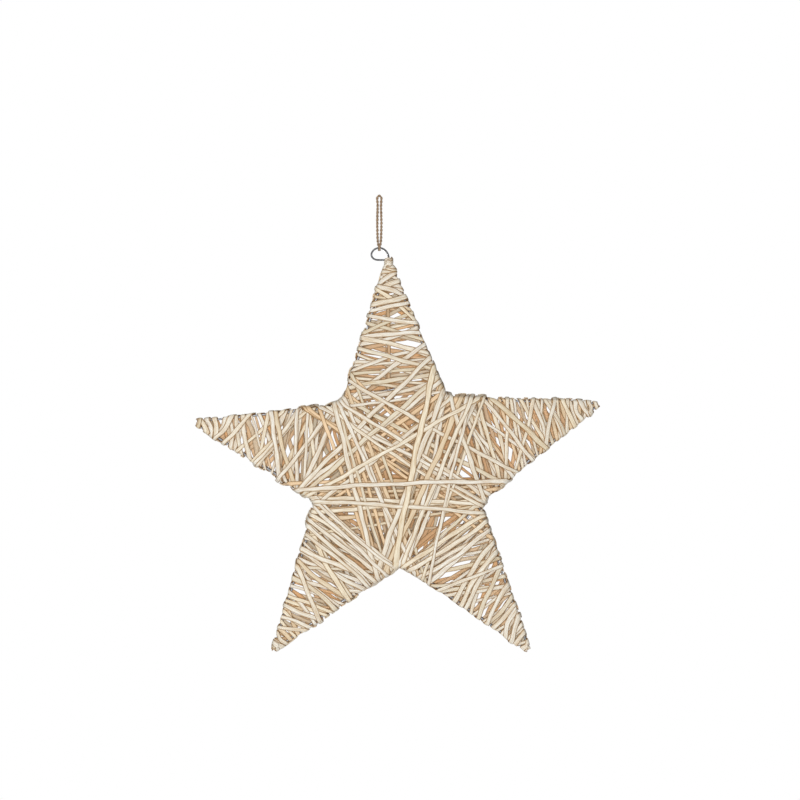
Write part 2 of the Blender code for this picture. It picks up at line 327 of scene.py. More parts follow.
class Winder:
    """Keeps the height of the winding on both faces and on every wall."""

    def __init__(self):
        cells = int(2 * PLAN_REACH / CELL) + 1
        self.faces = {face: np.full((cells, cells), EMPTY) for face in (FRONT, BACK)}
        self.legs = {(i, side): leg_edge(i, side)
                     for i in range(len(ARMS)) for side in ("left", "right")}
        self.seats = [seat_edge(i) for i in range(len(NOTCHES))]
        self.stems = {side: stem_edge(side) for side in ("left", "right")}
        self.join_notches()
        for edge in (*self.legs.values(), *self.stems.values()):
            self.lay_wires(edge)

    def join_notches(self):
        """Tells the walls that meet in a notch about each other, wires included."""
        for i, seat in enumerate(self.seats):
            before = self.legs[(i, "left")]
            after = self.legs[((i + 1) % len(ARMS), "right")]
            group = [before, seat, after]
            seat.wall[:] = EMPTY
            seat.reach = -SEAT_HALF, SEAT_HALF
            for edge in group:
                edge.neighbours = [other for other in group if other is not edge]
            for leg in (before, after):
                d = np.arange(leg.high - NOTCH_WIRE, leg.high, CELL / 2)
                for v in (-1.0, 1.0):
                    leg.pile(d, np.full(d.shape, v), np.full(d.shape, WIRE_RADIUS))
            v = np.linspace(-1, 1, 2 * WALL_ROWS)
            zero = np.zeros(v.shape)
            seat.pile(zero, v, np.full(v.shape, WIRE_RADIUS))

    def lay_wires(self, edge):
        """Marks an edge's front and back wires on the face maps."""
        d = np.arange(edge.low, edge.high + CELL, CELL / 2)
        for across in np.linspace(-1, 1, 9) * WIRE_RADIUS:
            height = edge.depth_at(d) + math.sqrt(max(WIRE_RADIUS ** 2 - across ** 2, 0))
            places = edge.plan(d) + across * edge.outward
            for face in (FRONT, BACK):
                self.pile(face, places, height)

    def cells(self, places):
        index = np.rint((places + PLAN_REACH) / CELL).astype(int)
        index = np.clip(index, 0, self.faces[FRONT].shape[0] - 1)
        return index[..., 0], index[..., 1]

    def pile(self, face, places, height):
        np.maximum.at(self.faces[face], self.cells(places), height)

    def cross_face(self, face, start, end, strip, bow):
        """Lays one run over a face and returns how it meets the edges at its ends."""
        (edge_a, d_a), (edge_b, d_b) = start, end
        from_a, to_b = edge_a.plan(d_a), edge_b.plan(d_b)
        heading = unit(to_b - from_a)
        left_way = quarter_turn(heading) * -face
        ends = []
        for edge, way in ((edge_a, -1), (edge_b, 1)):
            square = max(way * (heading @ edge.outward), LEAST_SQUARE)
            ruling = strip.width / 2 / square
            sign = 1 if edge.along @ left_way > 0 else -1
            slope = np.clip((heading @ edge.along) / square, -MOST_SLOPE, MOST_SLOPE)
            ends.append({"edge": edge, "ruling": ruling * sign, "slope": slope})
        length = np.linalg.norm(to_b - from_a)
        t = np.linspace(0, 1, max(8, int(length)))
        middle = from_a + t[:, None] * (to_b - from_a)
        middle = middle + left_way * (bow * np.sin(math.pi * t))[:, None]
        half_a = edge_a.along * ends[0]["ruling"]
        half_b = edge_b.along * ends[1]["ruling"]
        half = half_a + t[:, None] * (half_b - half_a)
        places = middle[:, None, :] + half[:, None, :] * ACROSS[None, :, None] * FELT_WIDTH
        support = self.faces[face][self.cells(places)]
        for (edge, d), i in ((start, 0), (end, -1)):
            support[i] = np.maximum(support[i], edge.depth_at(d))
        left, right = rest_on(t, support, strip.width, 3)
        left = np.minimum(left, MOST_HALF_DEPTH - strip.thickness)
        right = np.minimum(right, MOST_HALF_DEPTH - strip.thickness)
        self.stamp_run(face, middle, half, left, right, strip)
        for entry, d, i in ((ends[0], d_a, 0), (ends[1], d_b, -1)):
            entry["d"] = d
            depth = entry["edge"].depth_at(d)
            entry["rise"] = (max(left[i] - depth, WIRE_RADIUS), max(right[i] - depth, WIRE_RADIUS))
        stations = np.linspace(0, 1, max(6, int(length / FACE_RINGS)))
        centre = np.stack([np.interp(stations, t, middle[:, k]) for k in (0, 1)], -1)
        reach = np.stack([np.interp(stations, t, half[:, k]) for k in (0, 1)], -1)
        lift = strip.thickness / 2
        rails = []
        for sign, height in ((1, left), (-1, right)):
            y = face * (np.interp(stations, t, height) + lift)
            rails.append(rail_points(centre + sign * reach, y))
        return ends, rails

    def stamp_run(self, face, middle, half, left, right, strip):
        """Raises a face's map to the back of a run, a little past its ends."""
        t = np.linspace(0, 1, len(left))
        fine = np.linspace(-0.8 / len(left), 1 + 0.8 / len(left), 2 * len(left) + 2)
        clipped = np.clip(fine, 0, 1)
        centre = np.stack([np.interp(clipped, t, middle[:, k]) for k in (0, 1)], -1)
        run = middle[-1] - middle[0]
        centre += (fine - clipped)[:, None] * run
        reach = np.stack([np.interp(clipped, t, half[:, k]) for k in (0, 1)], -1)
        high = np.interp(clipped, t, left)
        low = np.interp(clipped, t, right)
        rise = nested(strip.thickness, (high + low) / 2 - NOTCH_HALF_DEPTH, FACE_NEST)
        for s in np.linspace(-1, 1, int(strip.width / CELL) * 2 + 3):
            height = (high + low) / 2 + s * (high - low) / 2
            self.pile(face, centre + s * reach, height + rise * (1 - DOME * s * s))

    def pass_wall(self, face, first, last, strip, stop=1.0):
        """Lays a strip from one face round an edge to the other, or part of the way.

        first and last say how the runs on either side meet the edge."""
        edge = first["edge"]
        lift = strip.thickness / 2
        sign = 1 if first["ruling"] > 0 else -1
        start = first["d"] + first["slope"] * BEND_REACH
        finish = last["d"] - last["slope"] * BEND_REACH
        tall = edge.depth_at(first["d"]) + edge.depth_at(last["d"])
        t = np.linspace(0, 1, max(6, int(tall)))
        m0, m1 = first["slope"] * tall * WALL_PULL, last["slope"] * tall * WALL_PULL
        middle = ((2 * t ** 3 - 3 * t ** 2 + 1) * start + (t ** 3 - 2 * t ** 2 + t) * m0
                  + (3 * t ** 2 - 2 * t ** 3) * finish + (t ** 3 - t ** 2) * m1)
        steepest = min(1.3, 0.2 + tall / 10)
        steep = np.clip(np.gradient(middle, t) / tall, -steepest, steepest)
        half = sign * strip.width / 2 * np.sqrt(1 + steep ** 2)
        v = face * (1 - 2 * t)
        places = middle[:, None] + half[:, None] * ACROSS[None, :] * FELT_WIDTH
        places = np.clip(places, *edge.reach)
        support = edge.support(places, np.broadcast_to(v[:, None], places.shape))
        left, right = rest_on(t, support, strip.width, 2)
        left, right = np.maximum(left, WIRE_RADIUS * 0.6), np.maximum(right, WIRE_RADIUS * 0.6)
        bulge = strip.slack * (0.6 + 0.4 * np.sin(math.pi * t))
        left, right = left + bulge, right + bulge
        shown = t <= stop + 1e-9
        for s in np.linspace(-1, 1, int(strip.width / CELL) * 2 + 3):
            out = (left + right) / 2 + s * (left - right) / 2
            out = out + nested(strip.thickness, out, edge.nest) * (1 - DOME * s * s)
            edge.pile(np.clip(middle + s * half, *edge.reach)[shown], v[shown], out[shown])
        rails = ([], [])
        for k, (rail_sign, out) in enumerate(((1, left), (-1, right))):
            d_wall = middle + rail_sign * half
            d_first = first["d"] + rail_sign * first["ruling"]
            rails[k].extend(self.bend(edge, face, d_first, d_wall[0], first["rise"][k] + lift,
                                      out[0] + lift, False))
            keep = np.linspace(0, stop, max(3, int(tall * stop / WALL_RINGS)))[1:]
            d = np.interp(keep, t, d_wall)
            offset = np.interp(keep, t, out) + lift
            plan = edge.plan(d) + offset[:, None] * edge.outward
            y = np.interp(keep, t, v) * edge.depth_at(d)
            rails[k].extend(rail_points(plan, y))
            if stop >= 1:
                d_last = last["d"] + rail_sign * abs(last["ruling"]) * sign
                rails[k].extend(self.bend(edge, -face, d_last, d_wall[-1],
                                          last["rise"][k] + lift, out[-1] + lift, True))
        return rails

    @staticmethod
    def bend(edge, face, d_face, d_wall, rise, reach, reverse):
        """Rail points of a quarter turn round a wire, from the face down to the wall."""
        turn = np.radians((18.0, 36.0, 54.0, 72.0, 90.0))
        if reverse:
            turn = turn[:-1][::-1]
        share = turn / (math.pi / 2)
        d = d_face + (d_wall - d_face) * share
        plan = edge.plan(d) + (reach * np.sin(turn))[:, None] * edge.outward
        y = face * (edge.depth_at(d) + rise * np.cos(turn))
        return rail_points(plan, y)

    def wind(self, runs, strip, bows):
        """Lays a strip over a list of runs, each (face, start, end), a bow for each."""
        laid = []
        for (face, start, end), bow in zip(runs, bows):
            ends, rails = self.cross_face(face, start, end, strip, bow)
            if laid:
                last_face, last_ends = laid[-1]
                strip.add(*self.pass_wall(last_face, last_ends[1], ends[0], strip))
            else:
                self.lay_end(face, ends[0], strip, True)
            strip.add(*rails)
            laid.append((face, ends))
        last_face, last_ends = laid[-1]
        self.lay_end(last_face, last_ends[1], strip, False)
        return strip

    def lay_end(self, face, meeting, strip, at_start):
        """Turns a strip's end over the edge and leaves it part way down the wall."""
        first = dict(meeting)
        if at_start:
            first["slope"] = -first["slope"]
            first["rise"] = first["rise"][::-1]
            first["ruling"] = -first["ruling"]
        lean = first["slope"] * first["edge"].depth_at(first["d"])
        last = dict(first, d=first["d"] + lean)
        left, right = self.pass_wall(face, first, last, strip, END_SHARE)
        if at_start:
            left, right = right[::-1], left[::-1]
        strip.add(left, right)


# ---------------------------------------------------------------- strip meshes

# A strip's section, its peeled face first: across in halves of its width, up in
# thicknesses.
SECTION = ((-0.99, -0.02), (-0.88, 0.24), (-0.5, 0.43), (0.0, 0.5), (0.5, 0.43),
           (0.88, 0.24), (0.99, -0.02), (0.92, -0.44), (-0.92, -0.44))
OUTER_POINTS = 7
# Rings closer together than this are one, and a ring this near a straight line isn't needed.
LEAST_STEP = 0.25
STRAIGHT = 0.04


def bent_rings(left, right):
    """Marks the rings to keep: of every two, one goes where it lies between its neighbours."""
    keep = np.ones(len(left), dtype=bool)
    bend = np.zeros(len(left))
    for rail in (left, right):
        off = np.linalg.norm(rail[1:-1] - (rail[:-2] + rail[2:]) / 2, axis=1)
        bend[1:-1] = np.maximum(bend[1:-1], off)
    keep[1:-1:2] = bend[1:-1:2] > STRAIGHT
    return keep


def strip_arrays(strip):
    """Points of one domed strip, ring by ring, with their lay values and inner marks."""
    left, right = np.array(strip.left), np.array(strip.right)
    step = np.linalg.norm(np.diff((left + right) / 2, axis=0), axis=1)
    keep = np.concatenate(((True,), step > LEAST_STEP))
    left, right = left[keep], right[keep]
    keep = bent_rings(left, right)
    left, right = left[keep], right[keep]
    middle = (left + right) / 2
    along = np.concatenate(((0,), np.cumsum(np.linalg.norm(np.diff(middle, axis=0), axis=1))))
    tangent = np.gradient(middle, axis=0)
    outward = np.cross(left - right, tangent)
    outward /= np.maximum(np.linalg.norm(outward, axis=1), 1e-9)[:, None]
    across = np.array([s for s, _ in SECTION])
    up = np.array([h for _, h in SECTION])
    phase = strip.tone * 40
    uneven = 1 + 0.07 * np.sin(along / 7.0 + phase) + 0.06 * np.sin(along / 2.9 + 2 * phase)
    half = (left - right) / 2 * uneven[:, None]
    sway = 0.2 * np.sin(along / 12.0 + phase) + 0.12 * np.sin(along / 5.1 - phase)
    middle = middle + half * sway[:, None]
    points = (middle[:, None, :] + half[:, None, :] * across[None, :, None]
              + outward[:, None, :] * (up * strip.thickness)[None, :, None])
    rings, sides = points.shape[:2]
    lay = np.zeros((rings, sides, 3))
    lay[..., 0] = along[:, None] * MM
    lay[..., 1] = across[None, :]
    lay[..., 2] = strip.tone
    inner = np.zeros((rings, sides))
    inner[:, OUTER_POINTS:] = 1.0
    return points.reshape(-1, 3), lay.reshape(-1, 3), inner.ravel()


def tube_faces(base, rings, sides):
    """Faces of a closed tube whose points start at base, ring by ring."""
    faces = []
    for ring in range(base, base + (rings - 1) * sides, sides):
        for k in range(sides):
            j = (k + 1) % sides
            faces.append((ring + k, ring + j, ring + sides + j, ring + sides + k))
    faces.append([base + k for k in range(sides)][::-1])
    faces.append([base + (rings - 1) * sides + k for k in range(sides)])
    return faces


def new_piece(name, places, faces, **values):
    """A smooth piece from world points and faces, with named values at its points."""
    mesh = bpy.data.meshes.new(name)
    mesh.from_pydata(places.tolist(), [], faces)
    for title, value in values.items():
        kind, field = ("FLOAT", "value") if value.ndim == 1 else ("FLOAT_VECTOR", "vector")
        mesh.attributes.new(title, kind, "POINT").data.foreach_set(field, value.ravel())
    mesh.shade_smooth()
    piece = bpy.data.objects.new(name, mesh)
    bpy.context.scene.collection.objects.link(piece)
    return piece


def willow_mesh(name, strips):
    """One mesh of many strips, each a closed solid with its own lay values."""
    points, faces, lays, inners = [], [], [], []
    base = 0
    for strip in strips:
        ring_points, lay, inner = strip_arrays(strip)
        points.append(ring_points)
        lays.append(lay)
        inners.append(inner)
        faces.extend(tube_faces(base, len(ring_points) // len(SECTION), len(SECTION)))
        base += len(ring_points)
    points = np.concatenate(points)
    return new_piece(name, world(points[:, :2], points[:, 2]), faces,
                     lay=np.concatenate(lays), inner=np.concatenate(inners))


# ---------------------------------------------------------------- winding programmes

WINDER = Winder()

# Places along an arm: where its turns start, by arm, how far from the stem's top and from
# the notch they keep, and how far from the tip the winding is tighter and broader.
TIP_STARTS = (0.2, -5.7, 1.4, -1.8, -0.8)
STEM_CLEAR = 3.4
NOTCH_CLEAR = 2.5
TIGHT_REACH = 40.0
TIP_BROADER = 0.3
# An arm's width at its tip, and what each millimetre along it adds.
TIP_SPREAD = 7.0
ARM_SPREAD = 0.6
# The lowest turns: pitch at the tip, pitch further on by arm, how unevenly they are
# spaced, and how they tilt.
TIP_PITCH = 8.0
ARM_PITCH = (18.0, 19.0, 36.0, 24.0, 24.0)
UNEVEN = 0.4
TILT, TILT_SCATTER, MOST_TILT = 10.0, 15.0, 32.0
SKEIN_WIDTHS = (3.0, 5.2)
TURNS_A_STRIP = 5
# How far on a strip comes out of an arm's wall, by the wall's half depth.
LEAN = 0.36


def arm_place(index, side, d):
    """A place on an arm's leg, or on the stem above the top tip."""
    if index == 1 and d < 0:
        return WINDER.stems[side], max(d, -STEM_LENGTH + STEM_CLEAR)
    edge = WINDER.legs[(index, side)]
    return edge, float(np.clip(d, TIP_STARTS[index], edge.high - NOTCH_CLEAR))


def wander(rng, count, size):
    """Slowly changing random offsets."""
    values = np.zeros(count)
    drift = 0.0
    for i in range(count):
        drift = 0.5 * drift + rng.normal(0, size)
        values[i] = drift
    return values


def skein_turns(rng, index, start, stop):
    """Front crossings of an arm's lowest turns, as distances on its left and right leg."""
    edge = WINDER.legs[(index, "left")]
    turns = []
    d = start
    while d < stop:
        turns.append(d)
        share = min(max(d, 0) / TIGHT_REACH, 1.0)
        loose = rng.uniform(1 - UNEVEN * share, 1 + UNEVEN * share)
        d += (TIP_PITCH + (ARM_PITCH[index] - TIP_PITCH) * share) * loose
    crossings = []
    for d in turns:
        wide = TIP_SPREAD + ARM_SPREAD * max(d, 0)
        angle = np.clip(rng.normal(TILT, TILT_SCATTER), -MOST_TILT, MOST_TILT)
        slant = math.tan(math.radians(angle)) * wide / 2
        slant = np.clip(slant, start - d, d - start)
        crossings.append((d - slant, d + slant))
    last = edge.high - 3.0
    return [tuple(x if x < last else last - rng.uniform(0, 7) for x in pair)
            for pair in crossings]


def broadness(d):
    """How much broader than elsewhere the willow is, this far from a tip."""
    return 1 + TIP_BROADER * max(0.0, 1 - d / TIGHT_REACH) if d > 0 else 1.0


def wind_skein(rng, index, crossings):
    """Winds an arm through its crossings, with a new strip every few turns."""
    runs = []
    for k, (near, far) in enumerate(crossings):
        lean = LEAN * WINDER.legs[(index, "left")].depth_at(near)
        runs.append((FRONT, arm_place(index, "left", near), arm_place(index, "right", far)))
        if k + 1 < len(crossings):
            following = crossings[k + 1][0]
            runs.append((BACK, arm_place(index, "right", far + lean),
                         arm_place(index, "left", following - lean)))
    strips = []
    step = 2 * TURNS_A_STRIP
    for begin in range(0, len(runs), step):
        part = runs[begin:begin + step]
        broad = rng.uniform(*SKEIN_WIDTHS) * broadness(part[0][1][1])
        strip = Strip(broad, rng.uniform(0.85, 1.1), rng.uniform(0.17, 0.75))
        strips.append(WINDER.wind(part, strip, rng.normal(0, 0.9, len(part))))
    return strips


# Turns laid last over each arm's front: distance from the tip on its left leg, on its
# right leg, and width, from the lowest up.
ARM_RUNS = (
    ((53, 66, 3.0), (37, 47, 3.0), (139, 80, 3.5), (87, 115, 4.0), (46, 44, 4.0), (49, 41, 3.8),
     (31, 28, 4.5), (19, 19, 4.5), (15, 11, 4.0), (6, 7, 4.0), (0, 0, 3.5), (73, 62, 4.0),
     (62, 61, 4.5), (41, 64, 4.5), (62, 104, 4.0), (143, 107, 4.5), (137, 120, 3.5),
     (115, 120, 4.2), (109, 82, 4.2), (99, 64, 5.5)),
    ((67, 51, 4.0), (106, 87, 4.0), (138, 123, 4.5), (25, 17, 4.5), (17, 8, 4.2), (6, 5, 4.2),
     (22, 33, 4.5), (25, 57, 3.8), (45, 40, 4.5), (40, 33, 5.3), (51, 61, 4.5), (72, 71, 4.9),
     (75, 92, 4.9), (140, 84, 4.9), (86, 110, 4.5), (125, 116, 4.7), (2, 4, 4.6),
     (-1, 1, 4.8), (-4, -3, 3.6), (-2, -4, 3.6), (0, -2, 4.8)),
    ((40, 32, 4.0), (52, 38, 4.0), (48, 83, 3.8), (21, 17, 4.5), (15, 9, 4.5), (10, 3, 4.0),
     (1, 0, 4.0), (22, 33, 4.0), (62, 44, 5.0), (79, 53, 2.5), (71, 69, 4.0), (72, 107, 4.0),
     (96, 136, 4.5), (108, 101, 4.5), (65, 108, 3.4), (69, 99, 4.0), (32, 50, 4.2),
     (95, 72, 5.0), (113, 77, 4.6), (138, 110, 4.2), (116, 98, 4.0), (96, 132, 4.2),
     (123, 109, 3.2), (120, 140, 5.2)),
    ((96, 68, 4.2), (43, 54, 4.2), (87, 120, 4.2), (62, 51, 3.8), (31, 19, 3.4), (37, 29, 3.8),
     (9, 12, 4.0), (2, 3, 4.0), (108, 89, 4.2), (127, 81, 3.6), (48, 41, 4.9), (68, 68, 4.9),
     (84, 86, 4.9), (101, 96, 4.9), (84, 122, 5.3), (118, 99, 5.5), (50, 79, 4.9),
     (109, 122, 5.3), (124, 128, 5.3)),
    ((40, 23, 4.8), (110, 65, 4.2), (64, 100, 4.0), (52, 46, 4.9), (4, 2, 4.5), (14, 11, 4.5),
     (30, 17, 4.5), (43, 38, 4.9), (65, 93, 4.2), (84, 56, 4.9), (64, 45, 4.9), (102, 72, 4.9),
     (92, 126, 4.5), (99, 77, 5.3), (123, 115, 5.5), (108, 85, 5.3), (85, 103, 3.8)),
)
# More turns that thicken the lower left tip, as in ARM_RUNS.
NUB_RUNS = {3: ((1, 0, 4.4), (-1.8, -1.2, 3.8), (4, 3, 4.6), (-1, 1, 4.2))}
# Straight lengths inside the top arm: x and z of both ends, and width.
CORE_STICKS = (((-8.7, 172.0), (-8.0, 64.0), 3.8), ((-11.4, 158.0), (-11.0, 82.0), 1.5))
# How far along the arm a chosen turn comes back, how near the tip and the notch it is
# drawn tight, and how far it stands off elsewhere.
BACK_STEP = 9.0
TIP_REACH = 18.0
LEAST_SLACK, MOST_SLACK = 0.2, 1.3
# Bare stretches of leg longer than this get a turn more, up to so many by arm.
BARE_GAP = 7.0
MOST_ADDED = (10, 8, 3, 10, 8)


def arm_turn(rng, index, near, far, width):
    """One turn round an arm: over its front, round its right leg and over its back."""
    start, end = arm_place(index, "left", near), arm_place(index, "right", far)
    lean = LEAN * start[0].depth_at(near)
    back_end = arm_place(index, "left", near + BACK_STEP - lean)
    runs = [(FRONT, start, end), (BACK, arm_place(index, "right", far + lean), back_end)]
    strip = Strip(width * broadness(min(near, far)), broadness(near), rng.uniform(0.2, 1))
    room = min(near / TIP_REACH, (start[0].high - near) / TIP_REACH, 1.0)
    strip.slack = (LEAST_SLACK + MOST_SLACK * rng.uniform() ** 2) * max(room, 0)
    return WINDER.wind(runs, strip, rng.normal(0, 1.2, 2))


def bare_turns(taken, start, stop, most):
    """Turns for the widest bare stretches that the turns already taken leave on the legs."""
    added = []
    for k in range(most):
        near, far = (sorted((start, stop, *(turn[i] for turn in taken + added))) for i in (0, 1))
        first, second = (near, far) if k % 2 == 0 else (far, near)
        gap, here = max((b - a, (a + b) / 2) for a, b in zip(first, first[1:]))
        if gap < BARE_GAP:
            break
        _, there = max((b - a - abs((a + b) / 2 - here) / 4, (a + b) / 2)
                       for a, b in zip(second, second[1:]))
        added.append((here, there) if k % 2 == 0 else (there, here))
    return added


def core_stick(top, foot, width):
    """A straight length shut inside the top arm, against its back."""
    ends = np.array((top, foot))
    middle = ends[0] + np.linspace(0, 1, 14)[:, None] * (ends[1] - ends[0])
    side = quarter_turn(unit(ends[1] - ends[0])) * width / 2
    y = WINDER.legs[(1, "left")].depth_at(ARMS[1][2] - middle[:, 1]) * 0.8 - 1.0
    strip = Strip(width, 1.8, 0.1)
    strip.add(rail_points(middle + side, y), rail_points(middle - side, y))
    return strip


def wind_arm(index, rng):
    """All of one arm's willow: the lowest turns, those over bare stretches, the chosen ones."""
    length = WINDER.legs[(index, "left")].high
    top = TIP_STARTS[index]
    lowest = skein_turns(rng, index, top, length - 5)
    strips = wind_skein(rng, index, lowest)
    taken = lowest + [run[:2] for run in ARM_RUNS[index]]
    for near, far in bare_turns(taken, top + 3, length - 3, MOST_ADDED[index]):
        strips.append(arm_turn(rng, index, near, far, rng.uniform(2.6, 4.6)))
    for near, far, width in ARM_RUNS[index]:
        strips.append(arm_turn(rng, index, near, far, width))
    nub_rng = np.random.default_rng(index)
    for near, far, width in NUB_RUNS.get(index, ()):
        strips.append(arm_turn(nub_rng, index, near, far, width))
    if index == 1:
        strips.extend(core_stick(*stick) for stick in CORE_STICKS)
    return strips


# Runs over the hub, from one notch to another: notch, distance along its leg from the
# notch (positive counter-clockwise), notch, distance, and width, from the lowest up.
HUB_RUNS = (
    (4, 1, 2, 12, 4.6), (4, -1, 2, -6, 4.4), (4, 3, 1, 6, 4.2), (0, 0, 3, 8, 4.4),
    (0, -2, 3, -22, 4.4), (3, 0, 1, -6, 4.2),
    (0, -4, 2, 3, 4.2), (0, 17, 2, -21, 5.0), (1, 20, 4, 13, 4.2), (2, 22, 3, -24, 4.4),
    (2, -21, 0, 42, 5.0), (2, -14, 0, 22, 5.0), (4, -30, 3, 26, 5.0), (1, -25, 4, 48, 4.2),
    (0, -37, 3, 28, 3.2), (1, 5, 3, -16, 3.2), (0, -21, 3, 0, 3.8), (1, 14, 4, -2, 3.6),
    (2, 16, 3, -12, 4.2), (1, -2, 4, 9, 4.2), (1, 3, 3, 17, 4.2), (0, -15, 3, -18, 5.6),
    (4, -14, 3, 7, 5.0), (0, 6, 3, -30, 5.6), (4, -21, 3, 13, 5.0), (0, -6, 4, 8, 5.0),
    (2, -2, 3, -7, 3.6), (1, 8, 3, -27, 5.2), (2, -10, 0, -30, 4.4), (0, -25, 3, 35, 3.4),
    (2, 28, 3, -32, 4.6), (2, 8, 3, -19, 4.2), (2, 36, 3, -40, 4.0), (2, 4, 3, -9, 3.6),
    (0, -25, 3, 4, 4.4), (2, 1, 4, -11, 4.4), (0, 30, 3, -6, 6.0), (2, -20, 4, 33, 4.6),
)
# Places this near a notch's middle are on its seat, a little drawn in.
SEAT_REACH = 4.5
SEAT_SHARE = 0.84
# Bare places count half as much at this distance from the star's centre.
MIDDLE_REACH = 40.0
# How high the layers over the hub pile before they press together: on the legs, and on
# each notch's seat.
HUB_NEST = 1.4
SEAT_NESTS = (3.0, 1.8, 1.8, 3.0, 6.0)
# How far from a notch the lower runs and the back's runs may end, and their turn from one
# to the next.
UNDER_REACH = 37.0
BACK_REACH = 46.0
CROSSING_TURN = math.radians(68)
# How squarely a run has to meet its edges: a seeded one and a chosen one.
SQUARE_ENOUGH = 0.45
SQUARE_AT_LEAST = 0.3
UNDER_THICKNESS, BACK_THICKNESS, CHOSEN_THICKNESS = 0.75, 0.9, 1.1


def notch_place(notch, along):
    """The edge and distance of a place on a leg near a notch, or in its seat."""
    if abs(along) < SEAT_REACH:
        return WINDER.seats[notch], along * SEAT_SHARE
    if along > 0:
        edge = WINDER.legs[((notch + 1) % len(ARMS), "right")]
    else:
        edge = WINDER.legs[(notch, "left")]
    return edge, edge.high - abs(along)


def squareness(start, end):
    """How squarely a run meets its two edges: 1 is square, 0 or less can't be wound."""
    (edge_a, d_a), (edge_b, d_b) = start, end
    heading = unit(edge_b.plan(d_b) - edge_a.plan(d_a))
    return min(-(heading @ edge_a.outward), heading @ edge_b.outward)


def openness(face, start, end):
    """How much of a run would cross bare places; those near the middle count for more."""
    (edge_a, d_a), (edge_b, d_b) = start, end
    t = np.linspace(0.03, 0.97, 60)[:, None]
    places = edge_a.plan(d_a) * (1 - t) + edge_b.plan(d_b) * t
    bare = WINDER.faces[face][WINDER.cells(places)] == EMPTY
    return float((bare / (1 + (np.hypot(*places.T) / MIDDLE_REACH) ** 2)).mean())


def under_run(rng, k):
    """A run of the hub's lower layers, laid where the front is most open.

    The runs are turned on by an equal angle each time, so that they cross."""
    best, most = None, -1.0
    wanted = k * CROSSING_TURN
    for _ in range(90):
        a = int(rng.integers(len(NOTCHES)))
        b = (a + int(rng.integers(1, len(NOTCHES)))) % len(NOTCHES)
        reach = rng.uniform(-UNDER_REACH, UNDER_REACH), rng.uniform(-UNDER_REACH, UNDER_REACH)
        start, end = notch_place(a, reach[0]), notch_place(b, reach[1])
        if squareness(start, end) < SQUARE_ENOUGH:
            continue
        x, z = end[0].plan(end[1]) - start[0].plan(start[1])
        share = openness(FRONT, start, end) * math.cos(math.atan2(z, x) - wanted) ** 2
        if share > most:
            best, most = (a, reach[0], b, reach[1], rng.uniform(2.8, 5.0)), share
    return best


def wind_hub(rng):
    """Winds the hub from notch to notch: lower runs where it is open, then the chosen ones."""
    sizes = bpy.context.scene.willow_star_sizes
    under = sizes.hub_under_runs
    strips = []
    for edge in (*WINDER.legs.values(), *WINDER.seats):
        edge.nest = HUB_NEST
    for notch, nest in enumerate(SEAT_NESTS):
        WINDER.seats[notch].nest = nest
    for k in range(sizes.hub_back_runs):
        seat = notch_place(k % len(NOTCHES), rng.uniform(-40, 40))
        run = back_run(rng, seat)
        if run:
            # Back runs may draw the warm tone: partly strips laid split side out, partly painted
            # shade on layers deep behind the front.
            strip = Strip(rng.uniform(3.2, 5.4), BACK_THICKNESS, rng.uniform(0, 0.6))
            strips.append(WINDER.wind([run], strip, rng.normal(0, 0.7, 1)))
    last = None
    for k in range(under + len(HUB_RUNS)):
        lower = k < under
        a, at_a, b, at_b, width = under_run(rng, k) if lower else HUB_RUNS[k - under]
        if a == last:
            a, at_a, b, at_b = b, at_b, a, at_a
        last = b
        start, end = notch_place(a, at_a), notch_place(b, at_b)
        if squareness(start, end) < SQUARE_AT_LEAST:
            raise RuntimeError(f"hub run {(a, at_a, b, at_b)} runs along an edge")
        parts = [(FRONT, start, end)]
        back = back_run(rng, end)
        if back:
            parts.append(back)
        # The lowest runs draw mostly the warm tone: partly strips laid split side out, partly
        # painted shade that darkens and warms the deepest layers.
        tone = rng.uniform(0, 0.12 + 0.6 * (k / under) ** 1.6) if lower else rng.uniform(0.2, 1)
        strip = Strip(width, UNDER_THICKNESS if lower else CHOSEN_THICKNESS, tone)
        strips.append(WINDER.wind(parts, strip, rng.normal(0, 1.6, len(parts))))
    return strips


def back_run(rng, front_end):
    """The run over the back that a front run goes on with, laid where it is most open."""
    edge, d = front_end
    best, most = None, -1.0
    for _ in range(40):
        start = edge, float(np.clip(d + rng.normal(0, 1.5), edge.low + NOTCH_CLEAR,
                                    edge.high - NOTCH_CLEAR))
        place = notch_place(int(rng.integers(len(NOTCHES))), rng.uniform(-BACK_REACH, BACK_REACH))
        if place[0] is edge or squareness(start, place) < SQUARE_ENOUGH:
            continue
        share = openness(BACK, start, place)
        if share > most:
            best, most = (BACK, start, place), share
    return best


# ---------------------------------------------------------------- wires, eye and twine

WIRE_ROUNDS = 3
# The eye's wire from the top arm round and back: x and z from the star's centre.
EYE_KNOTS = (
    (-8.0, 203.0), (-8.1, 209.0), (-8.2, 214.5), (-8.9, 218.6), (-11.2, 222.3), (-14.6, 224.5),
    (-18.4, 225.0), (-22.2, 223.6), (-24.8, 220.6), (-25.1, 217.3), (-23.2, 214.6),
    (-20.2, 213.4), (-16.4, 213.2), (-12.8, 213.2), (-10.6, 212.2), (-9.9, 209.0), (-9.8, 203.0),
)

